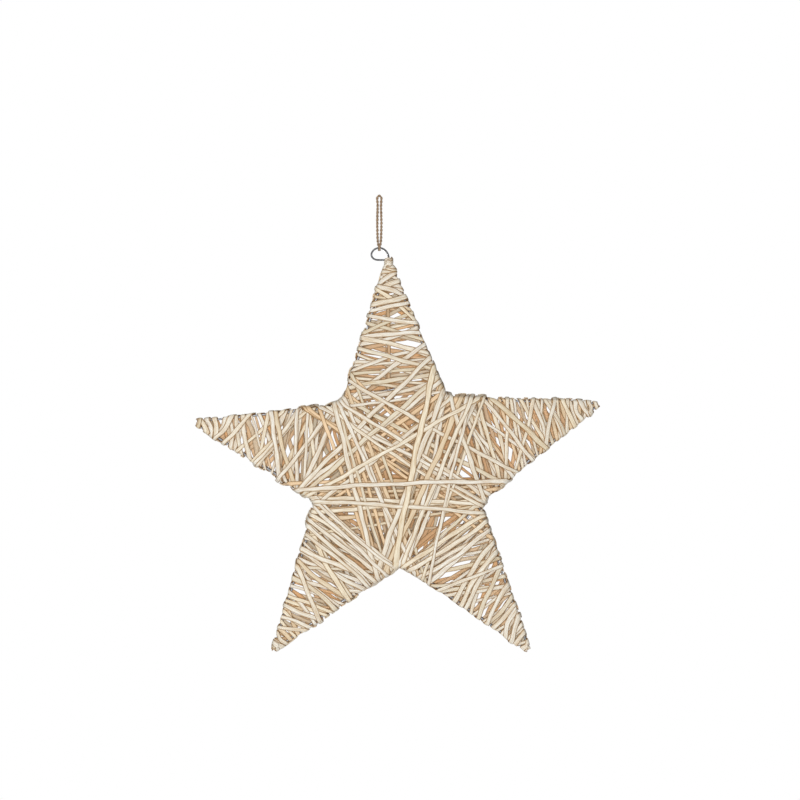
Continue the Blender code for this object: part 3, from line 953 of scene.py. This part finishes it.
# The twine's route, from under the eye up its front strand, over the hook and down the
# back strand: x, y and z from the star's centre.
JUTE_ROUTE = (
    (-17.5, -0.16, 222.85), (-17.45, -1.5, 223.45), (-17.3, -2.15, 225.0), (-16.75, -1.9, 227.2),
    (-16.1, -0.8, 230.5), (-15.75, -0.1, 236.0), (-15.55, 0.0, 243.0), (-15.5, 0.0, 250.0),
    (-15.6, 0.0, 257.0), (-15.85, 0.0, 264.0), (-15.75, 0.0, 269.5), (-15.4, 0.0, 273.0),
    (-16.0, 0.0, 275.3), (-17.5, 0.0, 276.2), (-19.0, 0.0, 275.3), (-19.6, 0.0, 273.0),
    (-19.25, 0.0, 269.5), (-19.15, 0.0, 264.0), (-19.4, 0.0, 257.0), (-19.5, 0.0, 250.0),
    (-19.45, 0.0, 243.0), (-19.25, 0.1, 236.0), (-18.9, 0.8, 230.5), (-18.25, 1.9, 227.2),
    (-17.7, 2.15, 225.0), (-17.55, 1.5, 223.45), (-17.5, 0.16, 222.85),
)


def smooth_route(knots, steps):
    """Points on a Catmull-Rom curve through the given ones."""
    knots = np.array(knots, float)
    last = len(knots) - 1
    route = []
    for i in range(last):
        p0, p1 = knots[max(i - 1, 0)], knots[i]
        p2, p3 = knots[i + 1], knots[min(i + 2, last)]
        for t in np.arange(steps) / steps:
            route.append(0.5 * (2 * p1 + (p2 - p0) * t + (2 * p0 - 5 * p1 + 4 * p2 - p3) * t * t
                                + (3 * p1 - p0 - 3 * p2 + p3) * t ** 3))
    route.append(knots[last])
    return np.array(route)


def round_corners(points, cut, steps=4):
    """A closed outline with each corner turned into a short curve."""
    points = np.array(points, float)
    route = []
    for i, corner in enumerate(points):
        before, after = points[i - 1], points[(i + 1) % len(points)]
        back = min(cut, 0.45 * np.linalg.norm(before - corner))
        ahead = min(cut, 0.45 * np.linalg.norm(after - corner))
        start = corner + unit(before - corner) * back
        end = corner + unit(after - corner) * ahead
        for t in np.linspace(0, 1, steps + 1):
            route.append((1 - t) ** 2 * start + 2 * t * (1 - t) * corner + t * t * end)
    return np.array(route)


def deselect_all():
    bpy.ops.object.select_all(action="DESELECT")


def select_only(piece):
    deselect_all()
    bpy.context.view_layer.objects.active = piece
    piece.select_set(True)


def turn_outward(piece, merge=0.0):
    """Turns a piece's faces outward, once points closer than merge are one."""
    select_only(piece)
    bpy.ops.object.mode_set(mode="EDIT")
    bpy.ops.mesh.select_all(action="SELECT")
    if merge:
        bpy.ops.mesh.remove_doubles(threshold=merge)
    bpy.ops.mesh.normals_make_consistent(inside=False)
    bpy.ops.object.mode_set(mode="OBJECT")


def wire_piece(name, plan, y, diameter, closed):
    """A round wire bent along plan points at the given depths, as one smooth mesh."""
    curve = bpy.data.curves.new(name, "CURVE")
    curve.dimensions = "3D"
    curve.bevel_depth = diameter / 2
    curve.bevel_resolution = WIRE_ROUNDS
    curve.use_fill_caps = True
    spline = curve.splines.new("POLY")
    places = world(plan, y)
    spline.points.add(len(places) - 1)
    for knot, place in zip(spline.points, places):
        knot.co = (*place, 1.0)
    spline.use_cyclic_u = closed
    piece = bpy.data.objects.new(name, curve)
    bpy.context.scene.collection.objects.link(piece)
    select_only(piece)
    bpy.ops.object.convert(target="MESH")
    piece = bpy.context.view_layer.objects.active
    turn_outward(piece, merge=1e-6)
    bpy.ops.object.shade_smooth_by_angle(angle=math.radians(50))
    deselect_all()
    return piece


def star_outline(face):
    """Corners of one star wire: plan points and depths."""
    corners = []
    for i in range(len(ARMS)):
        right, left = WINDER.legs[(i, "right")], WINDER.legs[(i, "left")]
        depth = float(right.depth_at(0.0))
        corners.append((*right.plan(0.0), face * depth))
        corners.append((*left.plan(0.0), face * depth))
        corners.append((*left.plan(left.high), face * NOTCH_HALF_DEPTH))
    return corners


def ring_radius(bearing):
    """Radius of the brace ring, which passes just inside every spacer."""
    for index, (low, radius) in enumerate(NOTCHES):
        high, following = NOTCHES[(index + 1) % len(NOTCHES)]
        span = (high - low) % 360
        turned = (bearing - low) % 360
        if turned <= span:
            share = (1 - math.cos(math.pi * turned / span)) / 2
            return radius + (following - radius) * share - RING_INSET
    raise ValueError("bearing outside the ring")


# The twine: sides of a ply, spacing of its rings, the length of one turn of the plies,
# their thickness and offset as shares of the twine's, and how many fibres stand off it.
PLY_SIDES = 10
PLY_RINGS = 0.45
PLY_TURN = 7.0
PLY_SHARE = 0.27
PLY_OFFSET = 0.22
LOOSE_FIBRES = 110
FIBRE_RINGS = 4
FIBRE_SIDES = 3


def twine_course(path):
    """Distances along a twine's path, its middle there, and its tangent, side and up."""
    step = np.linalg.norm(np.diff(path, axis=0), axis=1)
    along = np.concatenate(((0,), np.cumsum(step)))
    count = int(along[-1] / PLY_RINGS)
    s = np.linspace(0, along[-1], count)
    middle = np.stack([np.interp(s, along, path[:, k]) for k in range(3)], -1)
    tangent = np.gradient(middle, axis=0)
    tangent /= np.linalg.norm(tangent, axis=1)[:, None]
    side = np.zeros_like(tangent)
    side[0] = unit(np.cross(tangent[0], (0.0, 1.0, 0.3)))
    for i in range(1, count):
        side[i] = unit(side[i - 1] - tangent[i] * (side[i - 1] @ tangent[i]))
    return s, middle, tangent, side, np.cross(tangent, side)


def twine_mesh(name, path, diameter):
    """Two plies twisted round each other along a path, with loose fibres on them."""
    rng = np.random.default_rng(3)
    s, middle, tangent, side, up = twine_course(path)
    vertices, faces, lay = [], [], []
    for ply in range(2):
        turn = 2 * math.pi * s / PLY_TURN + ply * math.pi
        way = side * np.cos(turn)[:, None] + up * np.sin(turn)[:, None]
        centre = middle + way * diameter * PLY_OFFSET
        rough = 1 + 0.14 * wander(rng, len(s), 0.7)
        faces.extend(tube_faces(len(vertices), len(s), PLY_SIDES))
        for i in range(len(s)):
            for k in range(PLY_SIDES):
                angle = 2 * math.pi * k / PLY_SIDES
                out = side[i] * math.cos(angle) + up[i] * math.sin(angle)
                vertices.append(centre[i] + out * diameter * PLY_SHARE * rough[i])
                lay.append((s[i] * MM, angle / math.pi - turn[i] / math.pi, ply))
    for _ in range(LOOSE_FIBRES):
        i = int(rng.integers(3, len(s) - 8))
        angle = rng.uniform(0, 2 * math.pi)
        out = side[i] * math.cos(angle) + up[i] * math.sin(angle)
        add_fibre(rng, vertices, faces, lay, middle[i] + out * diameter * 0.44,
                  out, tangent[i] * rng.choice((-1, 1)))
    vertices = np.array(vertices)
    piece = new_piece(name, world(vertices[:, (0, 2)], vertices[:, 1]), faces,
                      lay=np.array(lay, float))
    turn_outward(piece)
    deselect_all()
    return piece


def add_fibre(rng, vertices, faces, lay, root, out, way):
    """A short loose fibre that lies along the twine and lifts off at its end."""
    length = rng.uniform(1.2, 3.0)
    curl = np.cross(out, way) * rng.normal(0, 0.35)
    faces.extend(tube_faces(len(vertices), FIBRE_RINGS, FIBRE_SIDES))
    across = unit(np.cross(way, out))
    for i in range(FIBRE_RINGS):
        t = i / (FIBRE_RINGS - 1)
        centre = root + way * length * t + (out * 0.28 + curl) * length * t * t * 0.6 - out * 0.1
        thin = 0.055 * (1 - 0.7 * t)
        for k in range(FIBRE_SIDES):
            angle = 2 * math.pi * k / FIBRE_SIDES
            vertices.append(centre + (out * math.cos(angle) + across * math.sin(angle)) * thin)
            lay.append((root[2] * MM, k / FIBRE_SIDES, 0.5))


# ---------------------------------------------------------------- materials

def link(tree, out, into):
    tree.links.new(out, into)


def node(tree, kind, **settings):
    made = tree.nodes.new(kind)
    for name, value in settings.items():
        setattr(made, name, value)
    return made


def maths(tree, operation, first, second=None):
    made = node(tree, "ShaderNodeMath", operation=operation)
    for socket, value in zip(made.inputs, (first, second)):
        if isinstance(value, bpy.types.NodeSocket):
            link(tree, value, socket)
        elif value is not None:
            socket.default_value = value
    return made.outputs[0]


def mixed(tree, share, first, second):
    """A colour between two, each a socket or an RGB triple."""
    made = node(tree, "ShaderNodeMix", data_type="RGBA")
    for socket, value in zip((made.inputs[0], made.inputs[6], made.inputs[7]),
                             (share, first, second)):
        if isinstance(value, bpy.types.NodeSocket):
            link(tree, value, socket)
        elif isinstance(value, (int, float)):
            socket.default_value = value
        else:
            socket.default_value = (*value, 1.0)
    return made.outputs[2]


def noise(tree, vector, scale, detail=3.0, rough=0.55):
    made = node(tree, "ShaderNodeTexNoise")
    link(tree, vector, made.inputs["Vector"])
    made.inputs["Scale"].default_value = scale
    made.inputs["Detail"].default_value = detail
    made.inputs["Roughness"].default_value = rough
    return made.outputs["Fac"]


def ramp(tree, value, stops):
    made = node(tree, "ShaderNodeValToRGB")
    elements = made.color_ramp.elements
    while len(elements) < len(stops):
        elements.new(0.5)
    for element, (place, colour) in zip(elements, stops):
        element.position = place
        element.color = (*colour, 1.0)
    link(tree, value, made.inputs[0])
    return made.outputs[0]


def band(tree, value, low, high):
    """0 below low, 1 above high and an even rise between."""
    made = node(tree, "ShaderNodeMapRange")
    link(tree, value, made.inputs["Value"])
    made.inputs["From Min"].default_value = low
    made.inputs["From Max"].default_value = high
    return made.outputs[0]


def stretched(tree, attribute, along, across, apart):
    """The lay values of a strip as a vector stretched along it."""
    made = node(tree, "ShaderNodeVectorMath", operation="MULTIPLY")
    link(tree, attribute, made.inputs[0])
    made.inputs[1].default_value = (along, across, apart)
    return made.outputs[0]


def new_material(name, roughness, metallic):
    made = bpy.data.materials.new(name)
    made.use_nodes = True
    shader = made.node_tree.nodes["Principled BSDF"]
    shader.inputs["Roughness"].default_value = roughness
    shader.inputs["Metallic"].default_value = metallic
    return made, made.node_tree, shader


def bumped(tree, shader, height, strength, distance):
    made = node(tree, "ShaderNodeBump")
    made.inputs["Strength"].default_value = strength
    made.inputs["Distance"].default_value = distance
    link(tree, height, made.inputs["Height"])
    link(tree, made.outputs[0], shader.inputs["Normal"])


def willow_material():
    """Peeled willow: ivory outside and peach inside, with fine lengthwise grain, painted shade
    towards each strip's sides and outline, and a split face brightened to stand in for light glowing
    through.
    """
    colours = bpy.context.scene.willow_star_colours
    made, tree, shader = new_material("peeled_willow", 0.58, 0.0)
    lay = node(tree, "ShaderNodeAttribute", attribute_name="lay").outputs["Vector"]
    inner = node(tree, "ShaderNodeAttribute", attribute_name="inner").outputs["Fac"]
    parts = node(tree, "ShaderNodeSeparateXYZ")
    link(tree, lay, parts.inputs[0])
    tone = parts.outputs[2]
    grain = noise(tree, stretched(tree, lay, 70.0, 3.2, 61.0), 1.0, 4.0, 0.7)
    blotch = noise(tree, stretched(tree, lay, 40.0, 1.2, 43.0), 1.0, 3.0)
    chips = noise(tree, stretched(tree, lay, 130.0, 1.0, 29.0), 1.0, 2.0)
    outside = tuple(colours.willow_outside)
    khaki = tuple(c * f for c, f in zip(outside, (0.88, 0.85, 0.76)))
    # The warm tone is partly strips laid split side out, partly painted shade: the hub's lowest and
    # back runs draw it most, to darken and warm the deep layers.
    warm_and_deep_shade = tuple(c * f for c, f in zip(outside, (1.03, 0.8, 0.59)))
    creamy = tuple(min(c * f, 0.95) for c, f in zip(outside, (1.06, 1.015, 0.92)))
    white = tuple(c * f for c, f in zip(outside, (1.04, 1.07, 1.13)))
    base = ramp(tree, tone, ((0.0, warm_and_deep_shade), (0.15, warm_and_deep_shade), (0.26, khaki), (0.36, outside),
                             (0.52, white), (0.7, creamy), (0.84, white), (1.0, outside)))
    base = mixed(tree, maths(tree, "MULTIPLY", band(tree, blotch, 0.5, 0.7), 0.45),
                 base, tuple(colours.willow_tan))
    base = mixed(tree, maths(tree, "MULTIPLY", band(tree, grain, 0.46, 0.62), 0.6),
                 base, tuple(colours.willow_tan))
    crack = noise(tree, stretched(tree, lay, 25.0, 9.0, 17.0), 1.0, 2.0, 0.6)
    base = mixed(tree, maths(tree, "MULTIPLY", band(tree, crack, 0.6, 0.68), 0.4),
                 base, tuple(colours.willow_rim))
    # The split face's orange and peach are partly its own colour, partly painted light: brightened
    # and saturated to stand in for light glowing through the thin strips and bouncing warm in the
    # gaps.
    split = ramp(tree, maths(tree, "FRACT", maths(tree, "MULTIPLY", tone, 7.0)),
                 ((0.0, tuple(colours.willow_inside)), (0.5, tuple(colours.willow_peach)),
                  (0.9, creamy)))
    split = mixed(tree, maths(tree, "MULTIPLY", band(tree, grain, 0.45, 0.75), 0.2),
                  split, tuple(colours.willow_rim))
    base = mixed(tree, inner, base, split)
    rim = maths(tree, "ABSOLUTE", parts.outputs[1])
    # Painted shade: each strip darkens to tan towards its sides, where its domed back turns from the
    # light.
    painted_side_shade = maths(tree, "MULTIPLY", band(tree, rim, 0.5, 0.95), 0.45)
    base = mixed(tree, painted_side_shade, base, tuple(colours.willow_tan))
    # Dark chipped rims: partly the strips' own cut edges, partly a painted shadow line along each
    # strip's outline, half as strong on the split face.
    torn_rim_and_shade = maths(tree, "MULTIPLY", band(tree, rim, 0.66, 0.85), band(tree, chips, 0.3, 0.44))
    outer = maths(tree, "SUBTRACT", 0.95, maths(tree, "MULTIPLY", inner, 0.5))
    base = mixed(tree, maths(tree, "MULTIPLY", torn_rim_and_shade, outer), base, tuple(colours.willow_rim))
    link(tree, base, shader.inputs["Base Color"])
    link(tree, maths(tree, "ADD", maths(tree, "MULTIPLY", grain, 0.25), 0.5),
         shader.inputs["Roughness"])
    bumped(tree, shader, grain, 0.5, 0.0003)
    return made


def scuff_group():
    """Dull patches and fine drawing lines on a wire, as a mask."""
    group = bpy.data.node_groups.new("wire_scuff", "ShaderNodeTree")
    group.interface.new_socket("Scale", in_out="INPUT", socket_type="NodeSocketFloat")
    group.interface.new_socket("Mask", in_out="OUTPUT", socket_type="NodeSocketFloat")
    entry, leave = group.nodes.new("NodeGroupInput"), group.nodes.new("NodeGroupOutput")
    coordinates = node(group, "ShaderNodeTexCoord")
    texture = node(group, "ShaderNodeTexNoise")
    texture.inputs["Detail"].default_value = 5.0
    link(group, coordinates.outputs["Object"], texture.inputs["Vector"])
    link(group, entry.outputs["Scale"], texture.inputs["Scale"])
    link(group, band(group, texture.outputs["Fac"], 0.4, 0.65), leave.inputs["Mask"])
    return group


def wire_material(name, colour, dull, scale, group):
    made, tree, shader = new_material(name, 0.35, 0.85)
    scuff = node(tree, "ShaderNodeGroup", node_tree=group)
    scuff.inputs["Scale"].default_value = scale
    mask = scuff.outputs["Mask"]
    link(tree, mixed(tree, mask, colour, dull), shader.inputs["Base Color"])
    link(tree, maths(tree, "ADD", maths(tree, "MULTIPLY", mask, 0.25), 0.3),
         shader.inputs["Roughness"])
    bumped(tree, shader, mask, 0.15, 0.0001)
    return made


def twine_material():
    """Twisted jute: brown fibres with darker and paler streaks."""
    colours = bpy.context.scene.willow_star_colours
    made, tree, shader = new_material("jute_twine", 0.9, 0.0)
    lay = node(tree, "ShaderNodeAttribute", attribute_name="lay").outputs["Vector"]
    fibre = noise(tree, stretched(tree, lay, 260.0, 5.0, 17.0), 1.0, 4.0, 0.7)
    fleck = noise(tree, stretched(tree, lay, 330.0, 1.5, 29.0), 1.0, 2.0)
    twine = tuple(colours.twine)
    base = ramp(tree, fibre, ((0.3, tuple(c * 0.45 for c in twine)), (0.5, twine),
                              (0.75, tuple(min(c * 1.6, 0.9) for c in twine))))
    base = mixed(tree, maths(tree, "MULTIPLY", band(tree, fleck, 0.58, 0.68), 0.8),
                 base, tuple(colours.twine_fleck))
    link(tree, base, shader.inputs["Base Color"])
    bumped(tree, shader, fibre, 0.6, 0.0003)
    return made


def get_material(name):
    """A finish by its slot's name, made once; the frame's own of that name steps aside."""
    found = bpy.data.materials.get(name)
    if found and found.get("willow_star"):
        return found
    if found:
        found.name = name + "_plain"
    colours = bpy.context.scene.willow_star_colours
    if name == "peeled_willow":
        made = willow_material()
    elif name == "jute_twine":
        made = twine_material()
    else:
        group = bpy.data.node_groups.get("wire_scuff") or scuff_group()
        colour = tuple(colours.frame_wire if name == "frame_wire" else colours.eye_wire)
        dull = tuple(c * 0.6 for c in colour)
        made = wire_material(name, colour, dull, 900.0 if name == "frame_wire" else 1500.0, group)
    made["willow_star"] = True
    return made


def finish_piece(piece, slot, *nodes):
    """Gives a piece its finish, its slot and body, and the nodes that it stands for."""
    piece.data.materials.clear()
    piece.data.materials.append(get_material(slot))
    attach(piece, BODY)
    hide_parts(*nodes)


# ---------------------------------------------------------------- settings

def length_property(name, description, default):
    return bpy.props.FloatProperty(name=name, description=description, default=default,
                                   min=0.0, unit="LENGTH", subtype="DISTANCE", precision=5)


def colour_property(name, description, default):
    return bpy.props.FloatVectorProperty(name=name, description=description, default=default,
                                         size=3, min=0.0, max=1.0, subtype="COLOR")


class WillowStarSizes(bpy.types.PropertyGroup):
    """Sizes that a user may change before the star is wound again."""
    frame_wire: length_property(
        "Frame wire", "Diameter of the wire that the stars and the brace ring are bent from",
        2 * WIRE_RADIUS * MM)
    eye_wire: length_property("Eye wire", "Diameter of the hanging eye's wire", 0.0018)
    twine: length_property("Twine", "Diameter of the twisted twine", 0.0027)
    hub_under_runs: bpy.props.IntProperty(
        name="Lower hub runs", description="Strips laid over the hub below the chosen ones",
        default=34, min=0, max=90)
    hub_back_runs: bpy.props.IntProperty(
        name="Back hub runs", description="Strips laid over the back of the hub before the others",
        default=8, min=0, max=60)
    view_distance: length_property(
        "Camera distance", "From the camera to the middle of the star", 3.0)
    view_width: length_property(
        "View width", "Width of the picture at the star", 0.7853)


class WillowStarColours(bpy.types.PropertyGroup):
    """Colours of the finishes."""
    willow_outside: colour_property("Willow outside", "Peeled face of a strip", (0.81, 0.765, 0.655))
    # Partly painted light: brighter and more orange than the split face itself, for light glowing
    # through the strips.
    willow_inside: colour_property("Willow inside", "Split face of a strip", (0.97, 0.58, 0.28))
    # Partly painted light too, like the willow inside.
    willow_peach: colour_property("Willow peach", "Paler split face", (0.95, 0.68, 0.42))
    # Also the painted shade towards each strip's sides, besides its streaks and blotches.
    willow_tan: colour_property("Willow streaks", "Streaks along a strip", (0.58, 0.4, 0.205))
    # Also the painted shadow line along each strip's outline, besides its cut rims and cracks.
    willow_rim: colour_property("Willow rims", "Cut rims of a strip", (0.3, 0.15, 0.036))
    frame_wire: colour_property("Frame wire", "Zinc-grey of the frame", (0.45, 0.46, 0.48))
    eye_wire: colour_property("Eye wire", "Dark grey of the eye", (0.14, 0.14, 0.145))
    twine: colour_property("Twine", "Jute brown", (0.36, 0.25, 0.16))
    twine_fleck: colour_property("Twine flecks", "Dark bits in the jute", (0.08, 0.045, 0.025))
    floor: colour_property("Floor", "Studio floor", (0.9, 0.9, 0.9))


# ---------------------------------------------------------------- operators

class WILLOWSTAR_OT_wires(bpy.types.Operator):
    """Bend the two star wires, the spacers and the brace ring"""
    bl_idname = "willowstar.wires"
    bl_label = "Frame wires"

    def execute(self, context):
        diameter = context.scene.willow_star_sizes.frame_wire
        for name, face in (("front_star_wire", FRONT), ("back_star_wire", BACK)):
            route = round_corners(star_outline(face), 2.2)
            piece = wire_piece(name + "_bent", route[:, :2], route[:, 2], diameter, True)
            finish_piece(piece, "frame_wire", name)
        for index, (bearing, radius) in enumerate(NOTCHES):
            plan = np.array([polar(bearing, radius)] * 2)
            half = NOTCH_HALF_DEPTH - WIRE_RADIUS
            name = f"spacer_wire_{index + 1}"
            piece = wire_piece(name + "_cut", plan, np.array((-half, half)), diameter, False)
            finish_piece(piece, "frame_wire", name)
        bearings = np.arange(0, 360, 4)
        plan = np.array([polar(bearing, ring_radius(bearing)) for bearing in bearings])
        piece = wire_piece("brace_ring_bent", plan, np.zeros(len(plan)), diameter, True)
        finish_piece(piece, "frame_wire", "brace_ring")
        return {"FINISHED"}


class WILLOWSTAR_OT_eye(bpy.types.Operator):
    """Bend the wire eye whose ends are bound into the top tip"""
    bl_idname = "willowstar.eye"
    bl_label = "Hanging eye"

    def execute(self, context):
        route = smooth_route(EYE_KNOTS, 5)
        diameter = context.scene.willow_star_sizes.eye_wire
        piece = wire_piece("hanging_eye_bent", route, np.zeros(len(route)), diameter, False)
        finish_piece(piece, "eye_wire", "hanging_eye")
        return {"FINISHED"}


class WILLOWSTAR_OT_arms(bpy.types.Operator):
    """Wind the five arms"""
    bl_idname = "willowstar.arms"
    bl_label = "Arm windings"

    def execute(self, context):
        rng = np.random.default_rng(7)
        for index, (name, *_) in enumerate(ARMS):
            piece = willow_mesh(f"{name}_winding", wind_arm(index, rng))
            finish_piece(piece, "peeled_willow", f"{name}_skein_1", f"{name}_skein_2")
        return {"FINISHED"}


class WILLOWSTAR_OT_hub(bpy.types.Operator):
    """Wind the hub over the arms' bases"""
    bl_idname = "willowstar.hub"
    bl_label = "Hub winding"

    def execute(self, context):
        piece = willow_mesh("hub_winding", wind_hub(np.random.default_rng(11)))
        skeins = [f"hub_skein_{k + 1}" for k in range(len(NOTCHES))]
        finish_piece(piece, "peeled_willow", "hub_pentagram_skein", *skeins)
        return {"FINISHED"}


class WILLOWSTAR_OT_twine(bpy.types.Operator):
    """Twist the twine loop through the eye"""
    bl_idname = "willowstar.twine"
    bl_label = "Twine loop"

    def execute(self, context):
        diameter = context.scene.willow_star_sizes.twine
        route = smooth_route(JUTE_ROUTE, 4)
        piece = twine_mesh("twine_loop", route, diameter / MM)
        finish_piece(piece, "jute_twine", "jute_loop")
        return {"FINISHED"}


class WILLOWSTAR_OT_stage(bpy.types.Operator):
    """Set the pale floor, the soft light and the camera"""
    bl_idname = "willowstar.stage"
    bl_label = "Studio"

    def execute(self, context):
        sizes = context.scene.willow_star_sizes
        set_camera(context.scene, sizes)
        set_lights(context.scene)
        deselect_all()
        low, _ = CAD_BOX
        bpy.ops.mesh.primitive_plane_add(size=FLOOR_SIZE, location=(0, 0, low[2] - FLOOR_DROP))
        floor = context.active_object
        floor.name = "studio_floor"
        made, _, shader = new_material("studio_floor", 0.9, 0.0)
        colour = context.scene.willow_star_colours.floor
        shader.inputs["Base Color"].default_value = (*colour, 1.0)
        shader.inputs["Emission Color"].default_value = (1, 1, 1, 1)
        shader.inputs["Emission Strength"].default_value = FLOOR_GLOW
        floor.data.materials.append(made)
        deselect_all()
        return {"FINISHED"}


# Where the camera aims, from the star's centre, and the floor: its size, how far below
# the star it lies and its own glow.
VIEW_OFFSET = (2.8, 75.8)
FLOOR_SIZE = 4.0
FLOOR_DROP = 0.5
FLOOR_GLOW = 0.15
# How bright the white surroundings are to the star, against 1 to the camera.
SURROUNDINGS = 0.25
# Lamps: name, place, side and power.
LAMPS = (
    ("key", (-1.5, -2.0, 1.3), 0.8, 24.5),
    ("front_fill", (0.02, -3.2, -0.2), 0.3, 47.5),
    ("back_fill", (-0.1, 3.2, -0.1), 0.7, 42.0),
)


def set_camera(scene, sizes):
    """A long lens square to the star, aimed a little above its centre."""
    data = bpy.data.cameras.new("studio_camera")
    camera = bpy.data.objects.new("studio_camera", data)
    scene.collection.objects.link(camera)
    aim = world(np.array(VIEW_OFFSET), 0.0)
    camera.location = (aim[0], -sizes.view_distance, aim[2])
    camera.rotation_euler = (math.pi / 2, 0, 0)
    data.sensor_width = 36.0
    data.lens = data.sensor_width * sizes.view_distance / sizes.view_width
    data.clip_end = 50.0
    scene.camera = camera


def set_lights(scene):
    """White surroundings, a key lamp from the upper left and a fill from either side."""
    scene.view_settings.view_transform = "Standard"
    surroundings = bpy.data.worlds.new("studio")
    scene.world = surroundings
    surroundings.use_nodes = True
    tree = surroundings.node_tree
    background = tree.nodes["Background"]
    background.inputs["Color"].default_value = (1, 1, 1, 1)
    path = node(tree, "ShaderNodeLightPath")
    strength = node(tree, "ShaderNodeMapRange")
    strength.inputs["To Min"].default_value = SURROUNDINGS
    strength.inputs["To Max"].default_value = 1.0
    link(tree, path.outputs["Is Camera Ray"], strength.inputs["Value"])
    link(tree, strength.outputs[0], background.inputs["Strength"])
    for lamp in LAMPS:
        add_lamp(scene, *lamp)


def add_lamp(scene, name, place, size, power):
    """A square lamp turned to the star."""
    lamp = bpy.data.lights.new(name, "AREA")
    lamp.energy, lamp.size = power, size
    holder = bpy.data.objects.new(name, lamp)
    holder.visible_camera = False
    scene.collection.objects.link(holder)
    holder.location = place
    aim = Vector(world(np.zeros(2), 0.0)) - holder.location
    holder.rotation_euler = aim.to_track_quat("-Z", "Y").to_euler()


# ---------------------------------------------------------------- panel and main

STEPS = (WILLOWSTAR_OT_twine, WILLOWSTAR_OT_wires, WILLOWSTAR_OT_eye, WILLOWSTAR_OT_arms,
         WILLOWSTAR_OT_hub, WILLOWSTAR_OT_stage)


class WILLOWSTAR_PT_panel(bpy.types.Panel):
    """The star's steps and settings"""
    bl_label = "Willow Star"
    bl_idname = "WILLOWSTAR_PT_panel"
    bl_space_type = "VIEW_3D"
    bl_region_type = "UI"
    bl_category = "Willow Star"

    def draw(self, context):
        for step in STEPS:
            self.layout.operator(step.bl_idname)
        for group in (context.scene.willow_star_sizes, context.scene.willow_star_colours):
            box = self.layout.box()
            for name in group.__annotations__:
                box.prop(group, name)


CLASSES = (WillowStarSizes, WillowStarColours, *STEPS, WILLOWSTAR_PT_panel)


def register():
    for made in CLASSES:
        bpy.utils.register_class(made)
    bpy.types.Scene.willow_star_sizes = bpy.props.PointerProperty(type=WillowStarSizes)
    bpy.types.Scene.willow_star_colours = bpy.props.PointerProperty(type=WillowStarColours)


def unregister():
    del bpy.types.Scene.willow_star_sizes
    del bpy.types.Scene.willow_star_colours
    for made in reversed(CLASSES):
        bpy.utils.unregister_class(made)


def main():
    register()
    bpy.ops.willowstar.stage()
    bpy.ops.willowstar.twine()
    bpy.ops.willowstar.wires()
    bpy.ops.willowstar.eye()
    bpy.ops.willowstar.arms()
    bpy.ops.willowstar.hub()


if __name__ == "__main__":
    main()
